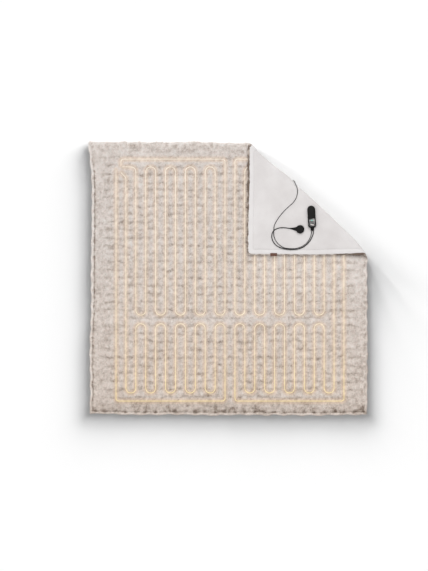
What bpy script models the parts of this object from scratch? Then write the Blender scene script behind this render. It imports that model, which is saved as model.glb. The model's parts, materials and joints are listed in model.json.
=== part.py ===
"""Electric heated blanket, spread out fur side up, with its top right corner folded over onto the fur.

X runs across the blanket and Y along it, Z is up and the backing lies on Z = 0. The two cloth panels and
the heating wires are drawn flat first; fold() then carries every point of them round the fold. The folded
corner shows the smooth backing, and the handset, its leads and the round connector lie on it.
"""

import math

import bmesh
import bpy
import numpy as np
from mathutils import Matrix, Vector
from mathutils.kdtree import KDTree

# The flat blanket
WIDTH = 1.500
LENGTH = 1.470
# Corner radii: side of X, side of Y, radius
CORNERS = ((-1, -1, 0.006), (1, -1, 0.014), (1, 1, 0.026), (-1, 1, 0.010))
CORNER_STEPS = 3
# How far each edge is drawn in from its straight line: place along it, distance
LEFT_DRAWN_IN = (
    (-0.718, -0.0030), (-0.629, 0.0012), (-0.540, 0.0016), (-0.451, -0.0010), (-0.362, -0.0014),
    (-0.272, 0.0038), (-0.183, 0.0056), (-0.060, 0.0054), (0.020, 0.0050), (0.155, 0.0060),
    (0.284, 0.0078), (0.425, 0.0086), (0.506, 0.0088), (0.571, 0.0050), (0.630, 0.0022),
    (0.668, -0.0040), (0.735, -0.0085),
)
RIGHT_DRAWN_IN = (
    (-0.713, 0.0055), (-0.624, 0.0045), (-0.535, 0.0048), (-0.446, 0.0040), (-0.357, 0.0036),
    (-0.269, 0.0052), (-0.180, 0.0044), (-0.002, 0.0046), (0.080, 0.0054), (0.125, 0.0016),
    (0.200, 0.0010), (0.260, 0.0044), (0.300, 0.0060), (0.400, 0.0075), (0.500, 0.0078),
    (0.600, 0.0066), (0.700, 0.0050),
)
TOP_DRAWN_IN = (
    (-0.733, -0.0045), (-0.676, -0.0018), (-0.611, -0.0012), (-0.546, -0.0026), (-0.482, -0.0020),
    (-0.417, -0.0002), (-0.352, 0.0004), (-0.287, -0.0006), (-0.222, -0.0030), (-0.157, -0.0020),
    (-0.092, -0.0004), (-0.028, 0.0024), (0.037, 0.0040), (0.085, 0.0034), (0.125, 0.0010),
    (0.200, 0.0000), (0.300, -0.0012), (0.400, -0.0012), (0.500, -0.0018), (0.600, -0.0024),
    (0.735, -0.0016),
)
BOTTOM_DRAWN_IN = (
    (-0.733, 0.0052), (-0.641, 0.0060), (-0.549, 0.0006), (-0.457, -0.0002), (-0.365, 0.0018),
    (-0.273, 0.0015), (-0.182, 0.0002), (-0.090, -0.0022), (0.002, -0.0007), (0.094, 0.0),
    (0.186, -0.0015), (0.278, -0.0012), (0.370, -0.0025), (0.462, -0.0030), (0.553, 0.0),
    (0.645, 0.0004), (0.737, 0.0008),
)
EDGE_SWAY_REACH = 0.080
STATION_PITCH = 0.105  # between the points that the edges wander through
STATION_MARGIN = 0.060  # from a corner to the first of them
NEAR = 1e-5  # two places closer than this are the same

# Fur panel: distance in from the edge, height of the pile. The groove is the seam beside the rolled hem.
FUR_RIM = ((0.000, 0.0060), (0.004, 0.0112), (0.0125, 0.0082), (0.030, 0.0130))
FUR_UNDER = ((0.000, 0.0006), (0.0084, 0.0006), (0.0088, 0.0034), (0.0315, 0.0034))
PILE = 0.0130  # height of the smooth pile, and of the bed that each wire lies in
RIB_PITCH = 0.05356
RIB_SHOULDER = 0.0075  # from the middle of a rib to the crest on either side of the wire
CREST_RISE = 0.0035
VALLEY_DROP = 0.0040
FIRST_RIB, LAST_RIB = 0, 25
RIB_CENTRE = 0.0048  # the ribs and wires are laid out on both sides of this line
# Place up the blanket, share of the ribs' height: smooth where wires turn
RIB_ZONES = (
    (-0.589, 0), (-0.574, 1), (-0.288, 1), (-0.273, 0), (-0.168, 0), (-0.153, 1), (0.525, 1), (0.540, 0),
)

# Backing panel: distance in from the blanket's edge, height. The dip is the stitched line of the border.
BACK_TOP = ((0.0095, 0.0030), (0.0315, 0.0030))
BACK_UNDER = ((0.0095, 0.0009), (0.0120, 0.0), (0.0285, 0.0), (0.0300, 0.0008), (0.0315, 0.0))

# The fold: the straight line that its outer edge follows, from the top edge to the right edge
FOLD_TOP = Vector((0.121, 0.735))
FOLD_SIDE = Vector((0.750, 0.108))
FOLD_RADIUS = 0.0185
FOLD_STEPS = 8
FOLD_LENGTH = math.pi * (FOLD_RADIUS - 0.0015)  # of cloth in the bend
# How far the fold's edge wanders from that line: distance along it, outwards
FOLD_SWAY = (
    (0.000, -0.002), (0.031, -0.005), (0.086, -0.009), (0.187, 0.000), (0.269, 0.0125), (0.351, 0.0107),
    (0.426, 0.0159), (0.518, 0.0191), (0.682, 0.0226), (0.763, 0.0225), (0.849, 0.0160), (0.880, 0.005),
    (0.907, 0.0),
)
SWAY_FADE_UNDER = 0.060  # below the flap the wandering dies out over this length
SWAY_FADE_FLAP = 0.150
FLAP_STRETCH = 1.052
FLAP_SHEAR = -0.037
# How far the flap is drawn along the fold: distance along it, shift
FLAP_SLIDE = ((0.035, -0.036), (0.853, 0.006))
FLAP_TOP = 2 * FOLD_RADIUS

# Heating wires
WIRE_DIAMETER = 0.0036
WIRE_HEIGHT = PILE + 0.0024
OUTER_TURN = 0.014  # bend radius at the outer corners
TOP_RUN, BOTTOM_RUN = 0.6455, -0.6616
UPPER_TIPS = (0.6037, -0.1973)
LOWER_TIPS = (-0.2438, -0.6183)
# Where each wire starts and ends, near the blanket's upper corner
UPPER_START, LOWER_START = 0.612, 0.588
UPPER_END_SHIFT = 0.006
LOWER_END_BEND, LOWER_END = 0.545, 0.5735
END_TURN = 0.012
TURN_STEPS = 3  # in each quarter of a turn
WIRE_RESOLUTION = 1

# Leads: points along the route, in metres
POWER_LEAD_DIAMETER = 0.0045
POWER_LEAD = (
    (0.3264, 0.2706, 0.0403), (0.3190, 0.2714, 0.0400), (0.3080, 0.2732, 0.0396), (0.2930, 0.2745, 0.0396),
    (0.2730, 0.2732, 0.0396), (0.2548, 0.2680, 0.0396), (0.2408, 0.2584, 0.0396), (0.2328, 0.2455, 0.0396),
    (0.2298, 0.2302, 0.0396), (0.2315, 0.2147, 0.0396), (0.2385, 0.1975, 0.0396), (0.2520, 0.1810, 0.0396),
    (0.2720, 0.1685, 0.0396), (0.2970, 0.1608, 0.0396), (0.3230, 0.1568, 0.0396), (0.3500, 0.1565, 0.0396),
    (0.3760, 0.1608, 0.0396), (0.4000, 0.1705, 0.0396), (0.4205, 0.1860, 0.0396), (0.4370, 0.2055, 0.0396),
    (0.4484, 0.2280, 0.0396), (0.4534, 0.2430, 0.0396), (0.4546, 0.2566, 0.0396),
)
BLANKET_LEAD_DIAMETER = 0.0035
BLANKET_LEAD = (
    (0.3509, 0.5264, 0.0236), (0.3519, 0.5244, 0.0280), (0.3555, 0.5170, 0.0327), (0.3601, 0.5060, 0.0367),
    (0.3650, 0.4930, 0.0388), (0.3687, 0.4790, 0.0392), (0.3690, 0.4690, 0.0391), (0.3665, 0.4520, 0.0391),
    (0.3603, 0.4330, 0.0391), (0.3500, 0.4155, 0.0391), (0.3355, 0.4003, 0.0391), (0.3195, 0.3860, 0.0391),
    (0.3013, 0.3690, 0.0391), (0.2835, 0.3496, 0.0391), (0.2675, 0.3290, 0.0391), (0.2540, 0.3080, 0.0391),
    (0.2462, 0.2925, 0.0394), (0.2422, 0.2800, 0.0408), (0.2408, 0.2700, 0.0432), (0.2402, 0.2595, 0.0442),
    (0.2400, 0.2490, 0.0431), (0.2402, 0.2390, 0.0405), (0.2418, 0.2270, 0.0392), (0.2460, 0.2145, 0.0391),
    (0.2525, 0.2025, 0.0391), (0.2620, 0.1900, 0.0391), (0.2750, 0.1785, 0.0391), (0.2980, 0.1662, 0.0391),
    (0.3225, 0.1620, 0.0391), (0.3490, 0.1618, 0.0391), (0.3735, 0.1658, 0.0391), (0.3963, 0.1750, 0.0391),
    (0.4160, 0.1900, 0.0391), (0.4310, 0.2090, 0.0391), (0.4402, 0.2295, 0.0391), (0.4431, 0.2435, 0.0391),
    (0.4436, 0.2560, 0.0391),
)
LEAD_STEP = 3.4  # diameters between a tube's points
LEAD_RESOLUTION = 2

# Handset, in its own frame: Y towards its round end, Z up from the flap
HANDSET_PLACE = Vector((0.4445, 0.3340, FLAP_TOP + 0.0003))
HANDSET_TURN = math.radians(3.4)
HANDSET_LENGTH, HANDSET_WIDTH = 0.118, 0.0425
HANDSET_FOOT_RADIUS = 0.010
# Height and inset of each ring of its shell, bottom to top
HANDSET_RINGS = (
    (0.0, 0.0045), (0.0035, 0.0010), (0.0075, 0.0), (0.0135, 0.0002), (0.0170, 0.0022), (0.0185, 0.0052),
)
PANEL_LOW, PANEL_HIGH = -0.0545, -0.0125  # the glossy window's ends
PANEL_WIDTH, PANEL_SLANT, PANEL_RADIUS = 0.0310, 0.0040, 0.006
PANEL_DEPTH = 0.0016
FIT = 0.0003  # gap between pieces that touch
CUTTER_PAST = 0.001  # how far a cutter runs past what it cuts
LAMP_ROW, LAMP_PITCH, LAMP_DIAMETER, LAMP_RISE = -0.0205, 0.0100, 0.0052, 0.0004
KEY_MIDDLE, KEY_LENGTH, KEY_WIDTH, KEY_RISE = -0.0440, 0.0190, 0.0090, 0.0006
BOOT_LENGTH = 0.018
BOOT_LIFT = 0.0001
# Share of its length, half width, half height
BOOT_SECTIONS = ((0.0, 0.0100, 0.0056), (0.45, 0.0092, 0.0050), (0.8, 0.0086, 0.0042), (1.0, 0.0080, 0.0036))

# Round connector: its middle, and the direction its lead leaves in
CONNECTOR_PLACE = Vector((0.3826, 0.2659, FLAP_TOP + 0.0003))
CONNECTOR_TURN = math.radians(175.3)
CONNECTOR_RADIUS = 0.0226
# Height and inset of each ring, bottom to top
CONNECTOR_RINGS = ((0.0, 0.0020), (0.0018, 0.0), (0.0080, 0.0), (0.0102, 0.0022), (0.0110, 0.0046))
CONNECTOR_FLAT = 0.0110  # half the width of the flat that its boot meets
CONNECTOR_BOOT_END = 0.0560  # from the connector's middle
CONNECTOR_BOOT_HEIGHT = 0.0050  # of its thick end's middle
# Share of its length, half width, half height
CONNECTOR_BOOT_SECTIONS = (
    (0.0, 0.0105, 0.0042), (0.3, 0.0076, 0.0038), (0.65, 0.0046, 0.0031), (1.0, 0.0031, 0.0028),
)

# Gland of the blanket lead, on the outside of the fold
GLAND_PLACE = Vector((0.3508, 0.5270, 0.0150))
GLAND_SIZE = (0.0180, 0.0044, 0.0140)
GLAND_ROUND = 0.0012

# Side label, on the flap's lower edge
LABEL_SIDES = (0.2221, 0.2584)
LABEL_ENDS = (0.1222, 0.1367)
LABEL_THICKNESS = 0.0016

FOLD_ALONG = (FOLD_SIDE - FOLD_TOP).normalized()
FOLD_OUT = Vector((-FOLD_ALONG.y, FOLD_ALONG.x))
BEND_ANGLES = [math.pi * step / FOLD_STEPS for step in range(FOLD_STEPS + 1)]
BEND_STATIONS = [FOLD_LENGTH * step / FOLD_STEPS for step in range(FOLD_STEPS + 1)]
FOLD_CUTS = [-SWAY_FADE_UNDER, *BEND_STATIONS, FOLD_LENGTH + SWAY_FADE_FLAP]


def clear_scene():
    for obj in list(bpy.data.objects):
        bpy.data.objects.remove(obj)


def finish(name, colour, roughness, metallic=0.0):
    """A plain material of one colour."""
    material = bpy.data.materials.new(name)
    material.use_nodes = True
    shader = material.node_tree.nodes["Principled BSDF"]
    shader.inputs["Base Color"].default_value = (*colour, 1)
    shader.inputs["Roughness"].default_value = roughness
    shader.inputs["Metallic"].default_value = metallic
    return material


def add_object(name, data, material):
    obj = bpy.data.objects.new(name, data)
    bpy.context.scene.collection.objects.link(obj)
    data.materials.append(material)
    return obj


def add_mesh(name, net, material, smooth=True):
    """The object of a bmesh, which is used up."""
    mesh = bpy.data.meshes.new(name)
    net.to_mesh(mesh)
    net.free()
    if smooth:
        mesh.shade_smooth()
        mesh.set_sharp_from_angle(angle=math.radians(35))
    return add_object(name, mesh, material)


# The cloth and its fold


def past_and_along(x, y):
    """How far a point of the flat cloth lies past the crease, and how far along the fold."""
    offset = Vector((x, y)) - FOLD_TOP
    return offset.dot(FOLD_OUT) + FOLD_RADIUS, offset.dot(FOLD_ALONG)


def between(value, table):
    """A straight line from row to row of a table with two columns."""
    return float(np.interp(value, [row[0] for row in table], [row[1] for row in table]))


def fold(x, y, z):
    """Where a point of the flat blanket, z above the floor, comes to once the corner is folded over."""
    past, along = past_and_along(x, y)
    sway = between(along, FOLD_SWAY)
    slide = 0.0
    if past <= 0:
        out, height = past, z
        sway *= max(0.0, 1 + past / SWAY_FADE_UNDER)
    elif past < FOLD_LENGTH:
        radius = FOLD_RADIUS - z
        out = float(np.interp(past, BEND_STATIONS, [radius * math.sin(angle) for angle in BEND_ANGLES]))
        height = float(
            np.interp(past, BEND_STATIONS, [FOLD_RADIUS - radius * math.cos(angle) for angle in BEND_ANGLES])
        )
        slide = max(0.0, 2 * past / FOLD_LENGTH - 1) * between(along, FLAP_SLIDE)
    else:
        over = past - FOLD_LENGTH
        out, height = -FLAP_STRETCH * over, FLAP_TOP - z
        sway *= max(0.0, 1 - over / SWAY_FADE_FLAP)
        slide = between(along, FLAP_SLIDE) + FLAP_SHEAR * over
    place = FOLD_TOP + (along + slide) * FOLD_ALONG + (out - FOLD_RADIUS + sway) * FOLD_OUT
    return Vector((place.x, place.y, height))


def uneven(x, y):
    """The flat cloth's edges wander in and out a little; its middle stays where it is."""
    near_x = max(0.0, 1 - (WIDTH / 2 - abs(x)) / EDGE_SWAY_REACH)
    near_y = max(0.0, 1 - (LENGTH / 2 - abs(y)) / EDGE_SWAY_REACH)
    side = between(y, RIGHT_DRAWN_IN) if x > 0 else -between(y, LEFT_DRAWN_IN)
    end = between(x, TOP_DRAWN_IN) if y > 0 else -between(x, BOTTOM_DRAWN_IN)
    return x - side * near_x, y - end * near_y


def outline(inset):
    """The blanket's outline, this far in from its edge, anticlockwise from the lower left."""
    points = []
    for side_x, side_y, radius in CORNERS:
        radius = max(radius - inset, 0.002)
        middle = Vector((side_x * (WIDTH / 2 - inset - radius), side_y * (LENGTH / 2 - inset - radius)))
        first = math.atan2(side_y, side_x) - math.pi / 4
        for step in range(CORNER_STEPS + 1):
            angle = first + math.pi / 2 * step / CORNER_STEPS
            points.append(middle + radius * Vector((math.cos(angle), math.sin(angle))))
    return points


def cut(net, faces, point, normal):
    """Adds edges where the line through this point crosses these faces."""
    edges = {edge for face in faces for edge in face.edges}
    verts = {vert for face in faces for vert in face.verts}
    bmesh.ops.bisect_plane(
        net, geom=[*faces, *edges, *verts], dist=1e-6, plane_co=(*point, 0), plane_no=(*normal, 0)
    )


def flat_net(rim, columns, rows):
    """One face of a panel, flat: rings round its edge at the heights that the rim gives, and a middle.

    The middle is cut along the columns and rows, the rings at even stations, and all of it along the fold.
    """
    net = bmesh.new()
    rings = [[net.verts.new((*point, height)) for point in outline(inset)] for inset, height in rim]
    for outer, inner in zip(rings, rings[1:]):
        for index, corner in enumerate(outer):
            after = (index + 1) % len(outer)
            net.faces.new((corner, outer[after], inner[after], inner[index]))
    net.faces.new(rings[-1]).material_index = 1
    for x in columns:
        cut(net, [face for face in net.faces if face.material_index == 1], (x, 0), (1, 0))
    for y in rows:
        cut(net, [face for face in net.faces if face.material_index == 1], (0, y), (0, 1))
    reach = LENGTH - 2 * STATION_MARGIN
    stations = round(reach / STATION_PITCH)
    for step in range(stations + 1):
        place = (step / stations - 0.5) * reach
        cut(net, [face for face in net.faces if face.material_index == 0], (place, 0), (1, 0))
        cut(net, [face for face in net.faces if face.material_index == 0], (0, place), (0, 1))
    for past in FOLD_CUTS:
        cut(net, net.faces[:], FOLD_TOP + (past - FOLD_RADIUS) * FOLD_OUT, FOLD_OUT)
    return net


def panel(name, top, under, material):
    """The solid between a panel's two flat faces, folded."""
    solid = bmesh.new()
    sides = []
    for net, turned in ((top, False), (under, True)):
        bmesh.ops.triangulate(net, faces=net.faces[:], quad_method="SHORT_EDGE", ngon_method="BEAUTY")
        net.verts.index_update()
        placed = [solid.verts.new(fold(*uneven(vert.co.x, vert.co.y), vert.co.z)) for vert in net.verts]
        for face in net.faces:
            corners = [placed[vert.index] for vert in face.verts]
            solid.faces.new(corners[::-1] if turned else corners)
        rim = [loop for edge in net.edges if edge.is_boundary for loop in edge.link_loops]
        sides.append((placed, rim))
    (upper, upper_rim), (lower, lower_rim) = sides
    tree = KDTree(len(lower_rim))
    for loop in lower_rim:
        tree.insert((loop.vert.co.x, loop.vert.co.y, 0), loop.vert.index)
    tree.balance()
    for loop in upper_rim:
        first, second = loop.vert, loop.link_loop_next.vert
        below = [lower[tree.find((vert.co.x, vert.co.y, 0))[1]] for vert in (first, second)]
        solid.faces.new((upper[second.index], upper[first.index], below[0], below[1]))
    top.free()
    under.free()
    return add_mesh(name, solid, material)


def rib_line(number):
    """X of a rib's middle, where its wire lies; 1 to 24 carry wires."""
    return RIB_CENTRE + (number - 12.5) * RIB_PITCH


def rib_height(x, y):
    """Height of the pile over the ribbed middle of the fur."""
    first, last = rib_line(FIRST_RIB) - RIB_PITCH / 2, rib_line(LAST_RIB) + RIB_PITCH / 2
    if not first - NEAR < x < last + NEAR:
        return PILE
    aside = abs((x - first) % RIB_PITCH - RIB_PITCH / 2)
    crest = CREST_RISE * (0.88 + 0.12 * math.sin(23 * x + 9 * y))
    valley = -VALLEY_DROP * (0.85 + 0.15 * math.sin(17 * x - 11 * y))
    profile = ((0.0, 0.0), (RIB_SHOULDER, crest), (RIB_PITCH / 2, valley))
    flat_in_bend = ((-SWAY_FADE_UNDER, 1), (0, 0), (FOLD_LENGTH, 0), (FOLD_LENGTH + SWAY_FADE_FLAP, 1))
    past = past_and_along(x, y)[0]
    return PILE + between(y, RIB_ZONES) * between(past, flat_in_bend) * between(aside, profile)


def valley_lines():
    """X of each valley between two ribs, and of the outermost ribs' far sides."""
    return [rib_line(number) - RIB_PITCH / 2 for number in range(FIRST_RIB, LAST_RIB + 2)]


def make_fur_panel():
    lines = valley_lines()
    for number in range(FIRST_RIB, LAST_RIB + 1):
        lines += [rib_line(number) + aside for aside in (-RIB_SHOULDER, 0, RIB_SHOULDER)]
    top = flat_net(FUR_RIM, lines, [row[0] for row in RIB_ZONES])
    inner = FUR_RIM[-1][0] - NEAR
    for vert in top.verts:
        if abs(vert.co.x) < WIDTH / 2 - inner and abs(vert.co.y) < LENGTH / 2 - inner:
            vert.co.z = rib_height(vert.co.x, vert.co.y)
    under = flat_net(FUR_UNDER, valley_lines(), [])
    return panel("fur_panel", top, under, finish("greige_fur", (0.62, 0.56, 0.51), 0.9))


def make_backing_panel():
    top = flat_net(BACK_TOP, valley_lines(), [])
    under = flat_net(BACK_UNDER, valley_lines(), [])
    return panel("backing_panel", top, under, finish("warm_grey_velour", (0.72, 0.69, 0.68), 0.8))


# Heating wires


def rounded_path(corners):
    """Points along a path of straight runs, each corner (x, y, radius) rounded off."""
    points = [Vector(corners[0][:2])]
    for before, corner, after in zip(corners, corners[1:], corners[2:]):
        here = Vector(corner[:2])
        back = (Vector(before[:2]) - here).normalized()
        ahead = (Vector(after[:2]) - here).normalized()
        half = back.angle(ahead) / 2
        reach = corner[2] / math.tan(half)
        centre = here + (back + ahead).normalized() * corner[2] / math.sin(half)
        start, end = here + back * reach - centre, here + ahead * reach - centre
        turn = start.angle_signed(end)
        steps = max(1, round(TURN_STEPS * abs(turn) / (math.pi / 2)))
        for step in range(steps + 1):
            spoke = start.copy()
            spoke.rotate(Matrix.Rotation(-turn * step / steps, 2))
            if (centre + spoke - points[-1]).length > NEAR:
                points.append(centre + spoke)
    points.append(Vector(corners[-1][:2]))
    return points


def crossings(start, end):
    """Points where a straight run crosses a line of the cloth's bend or a change in its ribs."""
    shares = []
    past = [past_and_along(*point)[0] for point in (start, end)]
    levels = [(past[0], past[1], cut_at) for cut_at in FOLD_CUTS]
    levels += [(start.y, end.y, row[0]) for row in RIB_ZONES if max(past) > -SWAY_FADE_UNDER]
    for first, last, level in levels:
        if min(first, last) + NEAR < level < max(first, last) - NEAR:
            shares.append((level - first) / (last - first))
    return [start.lerp(end, share) for share in sorted(shares)]


def snake(numbers, first_tip, other_tip, radius):
    """Corners of a wire that runs up and down the numbered ribs in turn, from one tip to the other."""
    corners = []
    tips = (first_tip, other_tip)
    for index, (number, after) in enumerate(zip(numbers, numbers[1:])):
        tip = tips[index % 2]
        corners += [(rib_line(number), tip, radius), (rib_line(after), tip, radius)]
    return corners


def make_wires(material):
    """The left circuit's two wires, and the right circuit's, which mirror them."""
    turn = RIB_PITCH / 2
    lead_in = rib_line(1.5)
    upper = [(lead_in, UPPER_START), (lead_in, TOP_RUN, OUTER_TURN), (rib_line(12), TOP_RUN, OUTER_TURN)]
    upper += snake(range(12, 2, -1), UPPER_TIPS[1], UPPER_TIPS[0], turn)
    upper += [(rib_line(3), UPPER_TIPS[0], turn), (lead_in + UPPER_END_SHIFT, UPPER_TIPS[0])]
    lower = [(rib_line(1), LOWER_START), (rib_line(1), BOTTOM_RUN, OUTER_TURN)]
    lower += [(rib_line(12), BOTTOM_RUN, OUTER_TURN)]
    lower += snake(range(12, 1, -1), LOWER_TIPS[0], LOWER_TIPS[1], turn)
    lower += [(rib_line(2), LOWER_END_BEND, END_TURN), (lead_in, LOWER_END)]
    for side, mirror in (("left", 1), ("right", -1)):
        for name, corners in (("upper", upper), ("lower", lower)):
            placed = [(RIB_CENTRE + mirror * (x - RIB_CENTRE), y, *radius) for x, y, *radius in corners]
            path = rounded_path(placed)
            points = [path[0]]
            for start, end in zip(path, path[1:]):
                points += [*crossings(start, end), end]
            folded = [fold(*point, WIRE_HEIGHT) for point in points]
            tube(f"wire_{name}_{side}", folded, WIRE_DIAMETER, WIRE_RESOLUTION, material)


# Leads


def tube(name, points, diameter, resolution, material):
    """A round tube through these points, its ends closed."""
    curve = bpy.data.curves.new(name, "CURVE")
    curve.dimensions = "3D"
    curve.bevel_depth = diameter / 2
    curve.bevel_resolution = resolution
    curve.use_fill_caps = True
    spline = curve.splines.new("POLY")
    spline.points.add(len(points) - 1)
    for place, point in zip(spline.points, points):
        place.co = (*point, 1)
    spline.use_smooth = True
    return add_object(name, curve, material)


def smooth_route(route, step):
    """Even points along the smooth curve through a route's own points, a natural cubic by chord length."""
    knots = np.array(route)
    lengths = np.linalg.norm(np.diff(knots, axis=0), axis=1)
    place = np.concatenate([[0], np.cumsum(lengths)])
    count = len(knots)
    matrix = np.eye(count)
    pull = np.zeros((count, 3))
    for i in range(1, count - 1):
        before, after = lengths[i - 1], lengths[i]
        matrix[i, i - 1 : i + 2] = before, 2 * (before + after), after
        pull[i] = 6 * ((knots[i + 1] - knots[i]) / after - (knots[i] - knots[i - 1]) / before)
    curving = np.linalg.solve(matrix, pull)

    def at(where):
        i = min(int(np.searchsorted(place, where, side="right")) - 1, count - 2)
        span, done = lengths[i], where - place[i]
        left = span - done
        return (
            (curving[i] * left**3 + curving[i + 1] * done**3) / (6 * span)
            + (knots[i] / span - curving[i] * span / 6) * left
            + (knots[i + 1] / span - curving[i + 1] * span / 6) * done
        )

    steps = max(2, round(place[-1] / step))
    return [Vector(at(place[-1] * index / steps)) for index in range(steps + 1)]


def make_leads(material, thin_material):
    for name, route, diameter, made_of in (
        ("power_lead", POWER_LEAD, POWER_LEAD_DIAMETER, material),
        ("blanket_lead", BLANKET_LEAD, BLANKET_LEAD_DIAMETER, thin_material),
    ):
        tube(name, smooth_route(route, LEAD_STEP * diameter), diameter, LEAD_RESOLUTION, made_of)


# Handset, connector and small pieces


def loft(name, rings, material, smooth=True):
    """A closed solid over rings of points, bottom to top, each anticlockwise seen from above."""
    net = bmesh.new()
    made = [[net.verts.new(point) for point in ring] for ring in rings]
    for lower, upper in zip(made, made[1:]):
        for index, corner in enumerate(lower):
            after = (index + 1) % len(lower)
            net.faces.new((corner, lower[after], upper[after], upper[index]))
    net.faces.new(made[0][::-1])
    net.faces.new(made[-1])
    return add_mesh(name, net, material, smooth)


def arc(centre, radius, start, end, steps):
    angles = [math.radians(start + (end - start) * step / steps) for step in range(steps + 1)]
    return [(centre[0] + radius * math.cos(angle), centre[1] + radius * math.sin(angle)) for angle in angles]


def handset_outline(inset):
    """Round at the far end, with two smaller rounded corners where the leads come in."""
    half = HANDSET_WIDTH / 2
    foot = -HANDSET_LENGTH / 2
    corner = HANDSET_FOOT_RADIUS
    return (
        arc((0, HANDSET_LENGTH / 2 - half), half - inset, 0, 180, 12)
        + arc((-half + corner, foot + corner), corner - inset, 180, 270, 4)
        + arc((half - corner, foot + corner), corner - inset, 270, 360, 4)
    )


def panel_outline(grow=0.0):
    """The glossy window: rounded corners, its upper edge on a slant."""
    half = PANEL_WIDTH / 2 - PANEL_RADIUS
    radius = PANEL_RADIUS + grow
    low, high = PANEL_LOW + PANEL_RADIUS, PANEL_HIGH - PANEL_RADIUS
    return (
        arc((half, high + PANEL_SLANT / 2), radius, 0, 90, 3)
        + arc((-half, high - PANEL_SLANT / 2), radius, 90, 180, 3)
        + arc((-half, low), radius, 180, 270, 3)
        + arc((half, low), radius, 270, 360, 3)
    )


def key_outline(grow=0.0):
    half, radius = (KEY_LENGTH - KEY_WIDTH) / 2, KEY_WIDTH / 2 + grow
    return arc((half, KEY_MIDDLE), radius, -90, 90, 6) + arc((-half, KEY_MIDDLE), radius, 90, 270, 6)


def lamp_outline(across, grow=0.0):
    return arc((across, LAMP_ROW), LAMP_DIAMETER / 2 + grow, 0, 330, 11)


def slab(name, points, low, high, material):
    return loft(name, [[(x, y, low) for x, y in points], [(x, y, high) for x, y in points]], material, False)


def cut_away(obj, cutter):
    """Cuts one object's shape out of another; the cutter is left out of the model."""
    cutter.hide_render = True
    cutter.display_type = "WIRE"
    modifier = obj.modifiers.new("cut", "BOOLEAN")
    modifier.operation = "DIFFERENCE"
    modifier.object = cutter


def make_handset(black, gloss, white, teal, pale):
    frame = bpy.data.objects.new("handset_frame", None)
    bpy.context.scene.collection.objects.link(frame)
    frame.location = HANDSET_PLACE
    frame.rotation_euler.z = HANDSET_TURN
    face = HANDSET_RINGS[-1][0]
    floor = face - PANEL_DEPTH - FIT
    shell = loft(
        "handset_shell", [[(x, y, z) for x, y in handset_outline(inset)] for z, inset in HANDSET_RINGS], black
    )
    seat = slab("handset_seat", panel_outline(FIT), floor, face + CUTTER_PAST, black)
    cut_away(shell, seat)
    window = slab("handset_panel", panel_outline(), floor + FIT, face, gloss)
    pieces = [shell, seat, window]
    lamps = [(-LAMP_PITCH, white), (0.0, teal), (LAMP_PITCH, white)]
    for number, (across, made_of) in enumerate(lamps, 1):
        name = f"handset_lamp_{number}"
        hole = slab(f"{name}_hole", lamp_outline(across, FIT), floor - CUTTER_PAST, face + CUTTER_PAST, black)
        cut_away(window, hole)
        pieces += [hole, slab(name, lamp_outline(across), floor + FIT, face + LAMP_RISE, made_of)]
    hole = slab("handset_key_hole", key_outline(FIT), floor - CUTTER_PAST, face + CUTTER_PAST, black)
    cut_away(window, hole)
    pieces += [hole, slab("handset_key", key_outline(), floor + FIT, face + KEY_RISE, pale)]
    pieces.append(make_handset_boot(black))
    for piece in pieces:
        piece.parent = frame


def make_handset_boot(black):
    """The flat tapered strain relief that both leads come out of."""
    foot = -HANDSET_LENGTH / 2 - FIT
    section = arc((0, 0), 1.0, 0, 330, 11)
    rings = []
    for share, half_width, half_height in BOOT_SECTIONS:
        y = foot - share * BOOT_LENGTH
        rings.append([(half_width * u, y, half_height * (1 + v) + BOOT_LIFT) for u, v in section])
    return loft("handset_boot", rings, black)


def make_connector(black):
    """The round connector, and the boot that its lead comes out of, along its own X."""
    frame = bpy.data.objects.new("connector_frame", None)
    bpy.context.scene.collection.objects.link(frame)
    frame.location = CONNECTOR_PLACE
    frame.rotation_euler.z = CONNECTOR_TURN
    flat = math.degrees(math.asin(CONNECTOR_FLAT / CONNECTOR_RADIUS))
    rings = []
    for z, inset in CONNECTOR_RINGS:
        rings.append([(x, y, z) for x, y in arc((0, 0), CONNECTOR_RADIUS - inset, flat, 360 - flat, 28)])
    disc = loft("connector_disc", rings, black)
    start = CONNECTOR_RADIUS * math.cos(math.radians(flat)) + FIT
    lead_height = POWER_LEAD[0][2] - CONNECTOR_PLACE.z
    section = arc((0, 0), 1.0, 0, 330, 11)
    rings = []
    for share, half_width, half_height in CONNECTOR_BOOT_SECTIONS:
        x = start + share * (CONNECTOR_BOOT_END - start)
        middle = CONNECTOR_BOOT_HEIGHT + share * (lead_height - CONNECTOR_BOOT_HEIGHT)
        rings.append([(x, half_width * u, middle + half_height * v) for u, v in section])
    boot = loft("connector_boot", rings, black)
    for piece in (disc, boot):
        piece.parent = frame


def make_gland(grey):
    """The blanket lead's outlet, moulded flat against the outside of the fold."""
    length, depth, height = GLAND_SIZE
    net = bmesh.new()
    bmesh.ops.create_cube(net, size=1, matrix=Matrix.Diagonal((length, depth, height, 1)))
    bmesh.ops.bevel(net, geom=net.edges[:], offset=GLAND_ROUND, segments=2, affect="EDGES")
    gland = add_mesh("lead_gland", net, grey)
    gland.location = GLAND_PLACE
    gland.rotation_euler.z = math.atan2(FOLD_ALONG.y, FOLD_ALONG.x)


def make_label(brown):
    """A folded loop of tape whose round edge points away from the flap."""
    low = FLAP_TOP + FIT
    half = LABEL_THICKNESS / 2
    profile = [(LABEL_ENDS[1], low), (LABEL_ENDS[1], low + LABEL_THICKNESS)]
    profile += [
        (LABEL_ENDS[0] + half - half * math.cos(angle), low + half + half * math.sin(angle))
        for angle in (math.pi / 2, math.pi / 4, 0, -math.pi / 4, -math.pi / 2)
    ]
    rings = [[(x, y, z) for y, z in profile] for x in LABEL_SIDES]
    loft("side_label", rings, brown, False)


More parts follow.
